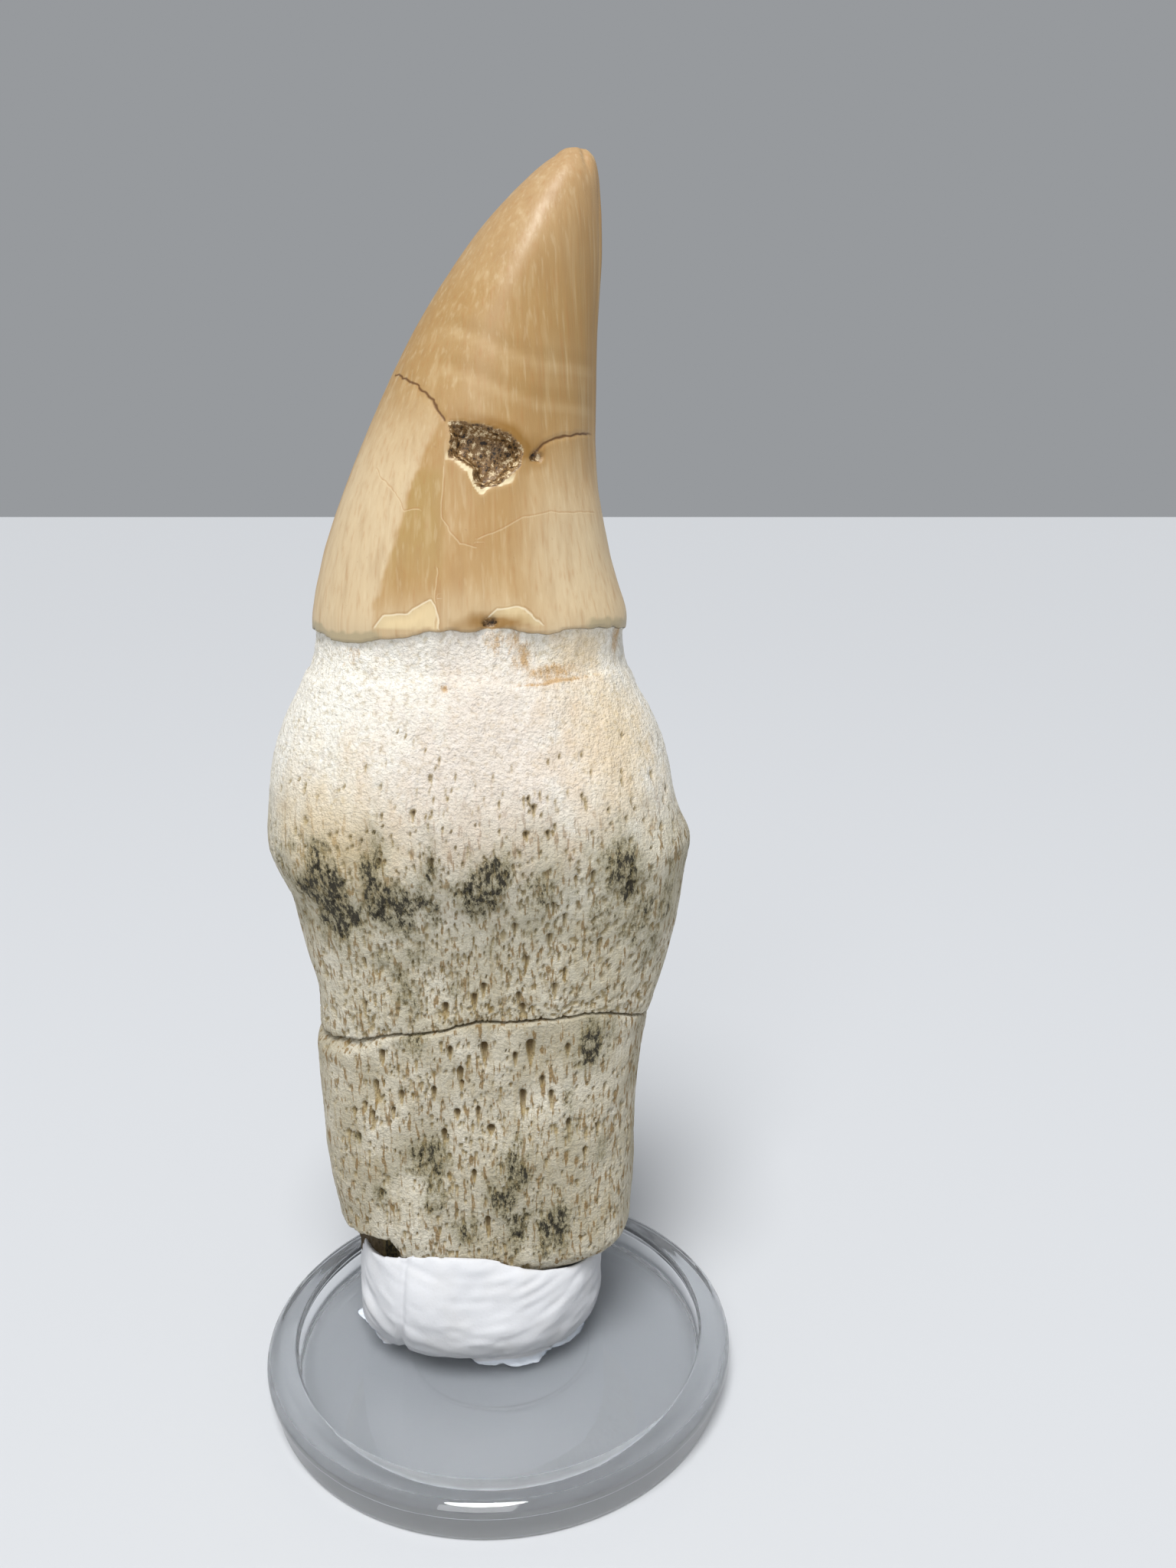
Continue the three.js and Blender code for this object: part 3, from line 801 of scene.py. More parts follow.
def scattered_pores(places, low, high, count, seed, smallest, largest):
    """Seeded pores all round, denser lower down: row, column, half width, length and depth share."""
    chance = np.random.default_rng(seed)
    rows, columns = places.shape[:2]
    pores = []
    while len(pores) < count:
        row = int(chance.integers(2, rows - 2))
        column = int(chance.integers(columns))
        height = places[row, column, 2]
        if not low < height < high or chance.random() < ((height - low) / (high - low)) ** 1.5:
            continue
        half_width = smallest + (largest - smallest) * chance.random() ** 2.5
        length = half_width * chance.uniform(2.2, 6.5)
        pores.append((row, column, half_width, length, chance.uniform(0.2, 0.62)))
    return pores


def carved(places, pores):
    """A mask of comet-shaped pores, each with a deep round head and a groove that fades downwards."""
    columns = places.shape[1]
    mask = np.zeros(places.shape[:2])
    for row, column, half_width, length, depth in pores:
        head = places[row, column]
        tangent = places[row, (column + 1) % columns] - places[row, column - 1]
        tangent[2] = 0
        spacing = np.linalg.norm(tangent) / 2
        tangent = tangent / (2 * spacing)
        side = int(1.2 * half_width / spacing) + 2
        heights = places[:, column, 2]
        first = np.searchsorted(heights, head[2] - length)
        last = np.searchsorted(heights, head[2] + 1.3 * half_width) + 1
        rows = np.arange(first, min(last, len(heights)))
        window = np.ix_(rows, np.arange(column - side, column + side + 1) % columns)
        offset = places[window] - head
        down = -offset[..., 2]
        tail = np.clip(down / length, 0, 1)
        half = half_width * np.maximum(1 - tail, 0.03) ** 0.6
        spread = np.hypot((offset @ tangent) / half, np.minimum(down, 0) / half_width)
        shape = depth * smoothstep(1.2, 0.35, spread) * (1 - 0.65 * tail)
        mask[window] = np.maximum(mask[window], shape)
    return mask


def rounded_section(section):
    """Radius and height of the points of a section after each corner is rounded by its own amount."""
    points = []
    for place, (radius, height, rounding) in enumerate(section):
        corner = np.array([radius, height])
        if rounding == 0:
            points.append(corner)
            continue
        before = np.array(section[place - 1][:2]) - corner
        after = np.array(section[place + 1][:2]) - corner
        start = corner + before * min(rounding / np.linalg.norm(before), 0.45)
        end = corner + after * min(rounding / np.linalg.norm(after), 0.45)
        for share in np.linspace(0, 1, 9 if rounding > 0.5 else 4):
            points.append((1 - share) ** 2 * start + 2 * share * (1 - share) * corner + share**2 * end)
    return points


def select_only(target):
    """Deselects everything and makes one object the selected, active one."""
    bpy.ops.object.select_all(action="DESELECT")
    target.select_set(True)
    bpy.context.view_layer.objects.active = target


def cap_rings(edge, heights_at, count):
    """Rings from the middle of an edge outwards, at heights given by a function of x, y and the share."""
    middle = edge.mean(axis=0)
    rings = []
    for share in np.linspace(0, 1, count, endpoint=False):
        ring = middle + share * (edge - middle)
        ring[:, 2] = heights_at(ring[:, 0], ring[:, 1], share)
        rings.append(ring)
    return np.array(rings)


def wrap_grid(name, side, bottom, top, masks):
    """Lays a grid over a side and its two caps, closes it behind and stores the masks on its points."""
    places = np.concatenate([bottom, side, top])
    rows, columns = places.shape[:2]
    bpy.ops.object.select_all(action="DESELECT")
    bpy.ops.mesh.primitive_grid_add(x_subdivisions=columns, y_subdivisions=rows - 1, size=2)
    piece = bpy.context.object
    piece.name = name
    mesh = piece.data
    mesh.name = name
    grid = read_points(mesh)
    order = np.lexsort((np.round(grid[:, 0], 5), np.round(grid[:, 1], 5)))
    laid = np.empty(grid.shape)
    laid[order] = np.concatenate([places, places[:, :1]], axis=1).reshape(-1, 3)
    write_places(mesh, laid)
    for mask_name, mask in masks.items():
        padded = np.pad(mask, ((len(bottom), len(top)), (0, 0)), mode="edge")
        values = np.empty(len(mesh.vertices), np.float32)
        values[order] = np.concatenate([padded, padded[:, :1]], axis=1).ravel()
        mesh.attributes.new(mask_name, "FLOAT", "POINT").data.foreach_set("value", values)
    bpy.ops.object.mode_set(mode="EDIT")
    bpy.ops.mesh.select_all(action="SELECT")
    bpy.ops.mesh.remove_doubles(threshold=1e-7)
    bpy.ops.mesh.normals_make_consistent(inside=False)
    bpy.ops.object.mode_set(mode="OBJECT")
    bpy.ops.object.shade_smooth()
    return piece


def add_node(tree, kind, settings=None, links=None):
    """Adds a node, sets its properties and unlinked sockets, and links the rest."""
    node = tree.nodes.new(kind)
    for name, value in (settings or {}).items():
        if isinstance(name, str) and hasattr(node, name):
            setattr(node, name, value)
        else:
            node.inputs[name].default_value = value
    for name, source in (links or {}).items():
        tree.links.new(source, node.inputs[name])
    return node


def new_material(name):
    """An empty material and its node tree."""
    material = bpy.data.materials.new(name)
    material.use_nodes = True
    material.node_tree.nodes.clear()
    return material, material.node_tree


def per_metre(millimetres):
    """Scale of a pattern whose features are so many millimetres wide."""
    return 1000 / millimetres


def layered(tree, base, masks, layers):
    """A base colour with layers over it: for each a mask, its low and high ends, a strength and a colour."""
    colour = add_node(tree, "ShaderNodeRGB").outputs[0]
    colour.default_value = (*base, 1)
    for name, low, high, strength, code in layers:
        ends = {"From Min": low, "From Max": high, "To Max": strength}
        share = add_node(tree, "ShaderNodeMapRange", ends, {"Value": masks[name]}).outputs[0]
        laid = {"data_type": "RGBA", 7: opaque(code)}
        colour = add_node(tree, "ShaderNodeMix", laid, {0: share, 6: colour}).outputs[2]
    return colour


def noise_masks(tree, place, patterns):
    """Noise by name, from a grain's width in mm, its width over its height, the detail and the roughness."""
    masks = {}
    for name, width, upright, detail, roughness in patterns:
        squash = {"Scale": (1, 1, upright)}
        drawn_out = add_node(tree, "ShaderNodeMapping", squash, {"Vector": place}).outputs[0]
        noise = {"Scale": per_metre(width), "Detail": detail, "Roughness": roughness}
        masks[name] = add_node(tree, "ShaderNodeTexNoise", noise, {"Vector": drawn_out}).outputs["Fac"]
    return masks


def bone_surface(tree, place, bone):
    """Colour, roughness and height of fossil bone: matt and sugary, with upright fibres and brown pores."""
    masks = {
        name: add_node(tree, "ShaderNodeAttribute", {"attribute_name": name}).outputs["Fac"]
        for name in ("chalk_and_top_light", "pore", "stain_and_notch_shade", "ochre", "pink", "rust", "clay")
    }
    patterns = [
        ("patches", 5, 1, 4, 0.5),
        ("fibres", 0.55, 0.14, 3, 0.5),
        ("grain", 0.3, 1, 3, 0.65),
        ("specks", 0.42, 1, 3, 0.5),
        ("dashes", 0.38, 0.22, 2, 0.5),
        ("dirt", 0.5, 0.45, 4, 0.8),
    ]
    masks.update(noise_masks(tree, place, patterns))
    # Each of these is one mask, times a factor, plus another.
    for name, scaled, factor, added in (
        ("brown_specks", "chalk_and_top_light", 0.12, "specks"),
        ("white_specks", "chalk_and_top_light", -0.12, "specks"),
        ("grained_stain_and_notch_shade", "dirt", 2.2, "stain_and_notch_shade"),
        ("grained_rust", "dirt", 2.2, "rust"),
        ("height", "fibres", 0.6, "grain"),
    ):
        links = {0: masks[scaled], 2: masks[added]}
        masks[name] = add_node(
            tree, "ShaderNodeMath", {"operation": "MULTIPLY_ADD", 1: factor}, links
        ).outputs[0]
    layers = [
        ("patches", 0.42, 0.7, 0.6, "#EAE4D4"),
        ("fibres", 0.52, 0.72, 0.5, "#AB9B78"),
        ("grain", 0.5, 0.28, 0.45, "#A0957A"),
        ("dashes", 0.56, 0.65, 0.85, "#85693A"),
        # The upper root's chalky surface: partly its own chalky white, partly painted light on the top,
        # which faces the light from above.
        ("chalk_and_top_light", 0, 1, 0.75, "#F6F2E8"),
        ("brown_specks", 0.66, 0.78, 0.42, "#B2A27D"),
        ("white_specks", 0.33, 0.22, 0.5, "#FDFAF3"),
        ("ochre", 0, 1, 0.5, "#DDBE86"),
        ("pink", 0, 1, 0.4, "#DAC4B2"),
        ("grained_rust", 1.55, 2.1, 0.75, "#B98F52"),
        ("pore", 0.05, 0.35, 0.7, "#A08A58"),
        ("stain_and_notch_shade", 0.15, 1.0, 0.45, "#8A866E"),
        ("clay", 0.2, 0.8, 0.95, "#4A3B22"),
        # On the lower root these grains also paint the shade in the notch's right part.
        ("grained_stain_and_notch_shade", 1.7, 2.02, 0.6, "#7B6F45"),
        ("grained_stain_and_notch_shade", 1.98, 2.2, 0.95, "#29251B"),
        ("pore", 0.5, 0.95, 0.9, "#5C4728"),
    ]
    colour = layered(tree, bone, masks, layers)
    roughness = add_node(
        tree, "ShaderNodeMapRange", {"To Min": 0.72, "To Max": 0.95}, {"Value": masks["grain"]}
    ).outputs[0]
    return colour, roughness, masks["height"]


def bone_material(name, bone):
    """Weathered fossil bone, bare and matt. Its pores hold brown clay, and grey grains stain it."""
    material, tree = new_material(name)
    place = add_node(tree, "ShaderNodeTexCoord").outputs["Object"]
    colour, roughness, height = bone_surface(tree, place, bone)
    bump = add_node(
        tree, "ShaderNodeBump", {"Strength": 1.0, "Distance": FINE_RELIEF}, {"Height": height}
    ).outputs["Normal"]
    shader = add_node(
        tree,
        "ShaderNodeBsdfPrincipled",
        {"IOR": 1.55, "Specular IOR Level": 0.35},
        {"Base Color": colour, "Roughness": roughness, "Normal": bump},
    )
    add_node(tree, "ShaderNodeOutputMaterial", {}, {"Surface": shader.outputs[0]})
    return material


def enamel_material(settings):
    """Fossil enamel over bone. The crown grew smooth and is glossy, and the root below is bare and matt."""
    material, tree = new_material("fossil enamel over bone")
    place = add_node(tree, "ShaderNodeTexCoord").outputs["Object"]
    names = (
        "above_edge", "hole", "rim", "amber", "olive", "pale",
        "right_shade_and_darker_top", "worn", "growth", "growth_edge", "flake_patch",
    )
    masks = {
        name: add_node(tree, "ShaderNodeAttribute", {"attribute_name": name}).outputs["Fac"]
        for name in names
    }
    masks["height_up"] = add_node(tree, "ShaderNodeSeparateXYZ", {}, {0: place}).outputs["Z"]
    # Lines: the attributes that they read, how far to one side of them they lie and half their width in mm.
    for name, attribute, aside, half_width in (
        ("crack", "crack", 0, 0.075),
        ("hairline_highlight", "hairline_highlight", 0, 0.04),
        ("hairline_highlight_side", "hairline_highlight", 0.09, 0.05),
        ("flake_edge", "flake", 0, 0.05),
        ("flake_side", "flake", 0.11, 0.06),
    ):
        offset, near = [
            add_node(tree, "ShaderNodeAttribute", {"attribute_name": attribute + ending}).outputs["Fac"]
            for ending in ("_offset", "_near")
        ]
        moved = add_node(tree, "ShaderNodeMath", {"operation": "SUBTRACT", 1: aside}, {0: offset}).outputs[0]
        apart = add_node(tree, "ShaderNodeMath", {"operation": "ABSOLUTE"}, {0: moved}).outputs[0]
        ends = {"From Min": 2 * half_width, "From Max": 0.5 * half_width}
        masks[name] = add_node(tree, "ShaderNodeMapRange", ends, {0: apart, 4: near}).outputs[0]
    patterns = [
        ("clouds", 6, 1, 3, 0.5),
        ("streaks", 0.8, 0.05, 2, 0.5),
        ("grain", 0.4, 1, 2, 0.5),
        ("fine", 0.33, 0.03, 2, 0.5),
        ("sand", 0.5, 1, 4, 0.75),
    ]
    masks.update(noise_masks(tree, place, patterns))
    for name, low, high in (("pale_sand", 0.54, 0.62), ("dark_sand", 0.48, 0.4)):
        ends = {"From Min": low, "From Max": high}
        grains = add_node(tree, "ShaderNodeMapRange", ends, {"Value": masks["sand"]}).outputs[0]
        masks[name] = add_node(
            tree, "ShaderNodeMath", {"operation": "MULTIPLY"}, {0: masks["hole"], 1: grains}
        ).outputs[0]
    layers = [
        ("clouds", 0.4, 0.68, 0.45, "#C3A67A"),
        ("height_up", 0.097, 0.107, 0.5, "#C6A47E"),
        # Painted shade on the side that turns right, away from the light, and a darker upper crown.
        ("right_shade_and_darker_top", 0, 1, 0.4, "#987845"),
        ("pale", 0, 1, 0.8, "#D5C09C"),
        ("olive", 0, 1, 0.5, "#A68B50"),
        ("growth", 0, 1, 0.28, "#94733F"),
        ("growth_edge", 0, 1, 0.15, "#D9BF94"),
        ("streaks", 0.52, 0.72, 0.25, "#9C764A"),
        ("streaks", 0.46, 0.3, 0.2, "#DCC69E"),
        ("fine", 0.55, 0.72, 0.25, "#A8733F"),
        ("fine", 0.43, 0.3, 0.15, "#E6D5B2"),
        ("grain", 0.7, 0.78, 0.2, "#93694A"),
        ("flake_patch", 0, 1, 0.55, "#E6D2A4"),
        ("worn", 0.15, 0.5, 0.85, "#AE9F7E"),
        # The brown of each closed crack, then a painted highlight along its raised edge.
        ("hairline_highlight_side", 0, 1, 0.35, "#A67444"),
        ("hairline_highlight", 0, 1, 0.35, "#E0CCA4"),
        ("amber", 0, 0.8, 0.85, "#8C6426"),
        ("flake_side", 0, 1, 0.4, "#9E7646"),
        ("flake_edge", 0, 1, 0.6, "#F0E3C4"),
        ("rim", 0.2, 0.7, 0.85, "#EADBB4"),
        ("hole", 0.4, 0.6, 1.0, "#7E5F38"),
        ("crack", 0, 1, 0.9, "#5F3D1C"),
        ("pale_sand", 0, 1, 1.0, "#E2CDA6"),
        ("dark_sand", 0, 1, 1.0, "#2A1C0C"),
    ]
    enamel = layered(tree, settings.enamel, masks, layers)
    bone, bone_roughness, bone_height = bone_surface(tree, place, settings.bone)
    on_crown = add_node(
        tree, "ShaderNodeMapRange", {"From Min": -0.05, "From Max": 0.05}, {"Value": masks["above_edge"]}
    ).outputs[0]
    gloss = add_node(
        tree, "ShaderNodeMapRange", {"To Min": 0.34, "To Max": 0.56}, {"Value": masks["streaks"]}
    ).outputs[0]
    rough_places = add_node(
        tree, "ShaderNodeMath", {"operation": "MAXIMUM"}, {0: masks["hole"], 1: masks["rim"]}
    ).outputs[0]
    enamel_roughness = add_node(
        tree, "ShaderNodeMix", {"data_type": "FLOAT", 3: 0.5}, {0: rough_places, 2: gloss}
    ).outputs[0]
    colour = add_node(
        tree, "ShaderNodeMix", {"data_type": "RGBA"}, {0: on_crown, 6: bone, 7: enamel}
    ).outputs[2]
    roughness = add_node(
        tree, "ShaderNodeMix", {"data_type": "FLOAT"}, {0: on_crown, 2: bone_roughness, 3: enamel_roughness}
    ).outputs[0]
    streak_height = add_node(
        tree, "ShaderNodeMath", {"operation": "MULTIPLY", 1: 0.08}, {0: masks["streaks"]}
    ).outputs[0]
    enamel_height = add_node(
        tree, "ShaderNodeMath", {"operation": "MULTIPLY_ADD", 1: 0.09}, {0: masks["fine"], 2: streak_height}
    ).outputs[0]
    height = add_node(
        tree, "ShaderNodeMix", {"data_type": "FLOAT"}, {0: on_crown, 2: bone_height, 3: enamel_height}
    ).outputs[0]
    bump = add_node(
        tree, "ShaderNodeBump", {"Strength": 1.0, "Distance": FINE_RELIEF}, {"Height": height}
    ).outputs["Normal"]
    shader = add_node(
        tree,
        "ShaderNodeBsdfPrincipled",
        {"IOR": 1.6, "Specular IOR Level": 0.3},
        {"Base Color": colour, "Roughness": roughness, "Normal": bump},
    )
    add_node(tree, "ShaderNodeOutputMaterial", {}, {"Surface": shader.outputs[0]})
    return material


def putty_material(settings):
    """White mineral putty, pressed on by hand and dried: matt and faintly mottled, with a fine grain."""
    material, tree = new_material("dried white putty")
    place = add_node(tree, "ShaderNodeTexCoord").outputs["Object"]
    mottle = add_node(tree, "ShaderNodeTexNoise", {"Scale": per_metre(3), "Detail": 3}, {"Vector": place})
    grain = add_node(tree, "ShaderNodeTexNoise", {"Scale": per_metre(0.25), "Detail": 3}, {"Vector": place})
    skirt = add_node(tree, "ShaderNodeAttribute", {"attribute_name": "skirt"})
    masks = {"mottle": mottle.outputs["Fac"], "grain": grain.outputs["Fac"], "skirt": skirt.outputs["Fac"]}
    layers = [
        ("mottle", 0.45, 0.75, 0.5, "#C8C7C6"),
        ("grain", 0.6, 0.75, 0.25, "#BDBCBA"),
        ("skirt", 0.2, 0.9, 0.9, "#E6EDF6"),
    ]
    colour = layered(tree, settings.colour, masks, layers)
    roughness = add_node(
        tree, "ShaderNodeMapRange", {"To Min": 0.55, "To Max": 0.75}, {"Value": masks["mottle"]}
    ).outputs[0]
    bump = add_node(
        tree, "ShaderNodeBump", {"Strength": 0.35, "Distance": 0.05 * MM}, {"Height": masks["grain"]}
    ).outputs["Normal"]
    shader = add_node(
        tree,
        "ShaderNodeBsdfPrincipled",
        {"IOR": 1.5, "Specular IOR Level": 0.4},
        {"Base Color": colour, "Roughness": roughness, "Normal": bump},
    )
    add_node(tree, "ShaderNodeOutputMaterial", {}, {"Surface": shader.outputs[0]})
    return material


def clear_material(settings):
    """Clear moulded polystyrene, glossy from a polished mould, with faint smears and a scuffed underside."""
    material, tree = new_material("clear moulded polystyrene")
    place = add_node(tree, "ShaderNodeTexCoord").outputs["Object"]
    smears = add_node(tree, "ShaderNodeTexNoise", {"Scale": per_metre(4), "Detail": 4}, {"Vector": place})
    height_up = add_node(tree, "ShaderNodeSeparateXYZ", {}, {0: place}).outputs["Z"]
    underside = {"From Min": 0.3 * MM, "From Max": 0.02 * MM, "To Max": 0.5}
    scuffed = add_node(tree, "ShaderNodeMapRange", underside, {"Value": height_up}).outputs[0]
    roughness = add_node(
        tree,
        "ShaderNodeMapRange",
        {"From Min": 0.55, "From Max": 0.75, "To Min": 0.015, "To Max": 0.12},
        {"Value": smears.outputs["Fac"]},
    ).outputs[0]
    roughness = add_node(
        tree, "ShaderNodeMath", {"operation": "MAXIMUM"}, {0: roughness, 1: scuffed}
    ).outputs[0]
    shader = add_node(
        tree,
        "ShaderNodeBsdfPrincipled",
        {"Base Color": (*settings.tint, 1), "IOR": 1.59, "Transmission Weight": 1.0},
        {"Roughness": roughness},
    )
    add_node(tree, "ShaderNodeOutputMaterial", {}, {"Surface": shader.outputs[0]})
    return material


def root_relief(places, pores, stain_and_notch_shade, chalk_and_top_light, settings):
    """Height in mm of bone over its smooth surface: lumps, upright ridges, sugary grain and pores."""
    lumps = 0.1 * fractal(places, 4.5, 11, 2)
    ridges = 0.055 * fractal(places, (1.0, 1.0, 7.0), 14, 3)
    fine_grain = (0.03 + 0.03 * stain_and_notch_shade + 0.03 * chalk_and_top_light) * fractal(places, 0.6, 17, 2)
    grain = fine_grain + 0.04 * fractal(places, 1.3, 19, 2)
    sugary = 0.1 * (0.4 + 0.6 * chalk_and_top_light) * smoothstep(0.25, 0.8, value_noise(places, 0.7, 18))
    return lumps + ridges + grain - sugary - settings.pore_depth / MM * pores


def enamel_relief(places, normals, front):
    """Height in mm of enamel over its smooth surface: waves, two keels, and the tip's ridge and nick."""
    x, z = places[..., 0], places[..., 2]
    waves = (
        0.03 * fractal(places, (2.5, 2.5, 9.0), 35, 2)
        + 0.015 * fractal(places, (0.8, 0.8, 9.0), 37, 2)
        + 0.012 * fractal(places, 1.1, 38, 2)
    )
    ridge_offset, _ = line_offset(x, z, TIP_RIDGE)
    ridge = 0.15 * np.exp(-((ridge_offset / 1.9) ** 2)) * front * smoothstep(90, 98, z)
    keels = 0.14 * smoothstep(0.965, 1.0, np.abs(normals[..., 0])) * band(z, KEEL_BAND)
    nick = groove(x, z, TIP_NICK) * smoothstep(106.6, 108.6, z) * front
    return waves + ridge + keels - 0.22 * nick


def enamel_lines(x, z, showing):
    """Signed distances to the nearest crack, hairline and flake edge, and how much each of them shows."""
    lines = {}
    for name, group in (("crack", CRACKS), ("hairline_highlight", HAIRLINES), ("flake", FLAKES)):
        offset, near = nearest_line(x, z, group)
        lines[name + "_offset"] = offset
        lines[name + "_near"] = near * showing
    return lines


def enamel_hole(places, front, wander, depth):
    """How far in mm the hole's floor lies in, and masks of its inside, its pale rim and its amber edge."""
    x, z = places[..., 0], places[..., 2]
    offset = outline_offset(x + 0.8 * wander, z - 0.8 * wander, HOLE_OUTLINE) + FAR * (front < 0.5)
    inside = smoothstep(0.02, -0.12, offset)
    bowl_x, bowl_z, half_width, half_height = HOLE_BOWL
    bowl = np.clip(1 - ((x - bowl_x) / half_width) ** 2 - ((z - bowl_z) / half_height) ** 2, 0, 1)
    floor = depth * smoothstep(0, -0.75, offset) * (0.55 + 0.45 * bowl)
    floor_grain = 0.2 * fractal(places, 0.7, 31, 3) * smoothstep(-0.2, -0.8, offset)
    low_left = smoothstep(-0.3, 1.2, (84.4 - z) * 0.8 - (x - 0.2) * 0.25)
    rim_width = 0.25 + 0.35 * value_noise(places, 1.1, 33)
    rim = low_left * smoothstep(rim_width + 0.1, rim_width - 0.1, offset) * (1 - inside)
    amber = smoothstep(1.1, 0.15, offset) * (1 - inside) * smoothstep(83.6, 85, z) * smoothstep(-4, 2, x)
    return inside * (floor - floor_grain), inside, rim, amber


def small_pits(x, z, front, wander):
    """Masks of the small pits, of those in the enamel and of those in the bone below it."""
    in_enamel = np.zeros(x.shape)
    in_bone = np.zeros(x.shape)
    for pit_x, pit_z, half_width, half_height in PITS:
        spread = np.hypot((x - pit_x) / half_width, (z - pit_z) / half_height) + FAR * (front < 0.5)
        target = in_enamel if pit_z > ENAMEL_EDGE else in_bone
        np.maximum(target, smoothstep(1.2, 0.6, spread + 2 * wander), out=target)
    return in_enamel, in_bone


def crown_colours(places, normals, front, wander, above_edge):
    """Masks of the crown's colours: facets, painted shade on the side turned right and a darker upper crown
    towards the tip, flakes, worn foot and growth lines.
    """
    x, z = places[..., 0], places[..., 2]
    edge_x = np.interp(z, *np.array(FACET_EDGE).T[::-1]) + 1.5 * wander
    facet = front * smoothstep(0.15, -0.45, x - edge_x) * smoothstep(92, 82, z)
    right = smoothstep(1.5, 6.5, x) * smoothstep(87, 78, z)
    behind = 0.7 * (1 - front) * smoothstep(90, 76, z)
    foot = 0.6 * smoothstep(4.5, 0.8, above_edge)
    olive = front * smoothstep(-0.1, 0.2, x - edge_x) * smoothstep(OLIVE_RIGHT + 0.6, OLIVE_RIGHT - 0.6, x)
    olive *= smoothstep(OLIVE_TOP + 0.6, OLIVE_TOP - 0.6, z) * smoothstep(72.5, 79, z)
    # Painted shade on the side that faces right, away from the light.
    shaded_right_side = smoothstep(0.35, 0.8, normals[..., 0]) * band(z, RIGHT_SHADE_BAND)
    flake_patch = np.zeros(x.shape)
    for outline in FLAKES:
        inside = smoothstep(0.03, -0.06, outline_offset(x + wander, z + wander, outline))
        flake_patch = np.maximum(flake_patch, inside * front)
    worn_edge = above_edge + 0.5 * fractal(places, 0.9, 46, 3)
    worn = smoothstep(1.3, 0.1, worn_edge) * smoothstep(7.6, 9.4, np.abs(x))
    growth = np.zeros(x.shape)
    growth_edge = np.zeros(x.shape)
    for step_up in (0, GROWTH_STEP):
        offset, beside = line_offset(x, z - step_up, GROWTH_LINE)
        beside *= front * smoothstep(-4.5, -2.0, x + wander)
        growth = np.maximum(growth, beside * smoothstep(0.9, 0.1, np.abs(offset - 0.7)))
        growth_edge = np.maximum(growth_edge, beside * smoothstep(0.6, 0.1, np.abs(offset + 0.3)))
    return {
        "olive": olive,
        "pale": np.maximum.reduce([facet, right, behind, foot]),
        "right_shade_and_darker_top": np.maximum(shaded_right_side, 0.75 * smoothstep(79, 91, z)),
        "flake_patch": flake_patch,
        "worn": worn,
        "growth": growth,
        "growth_edge": growth_edge,
    }


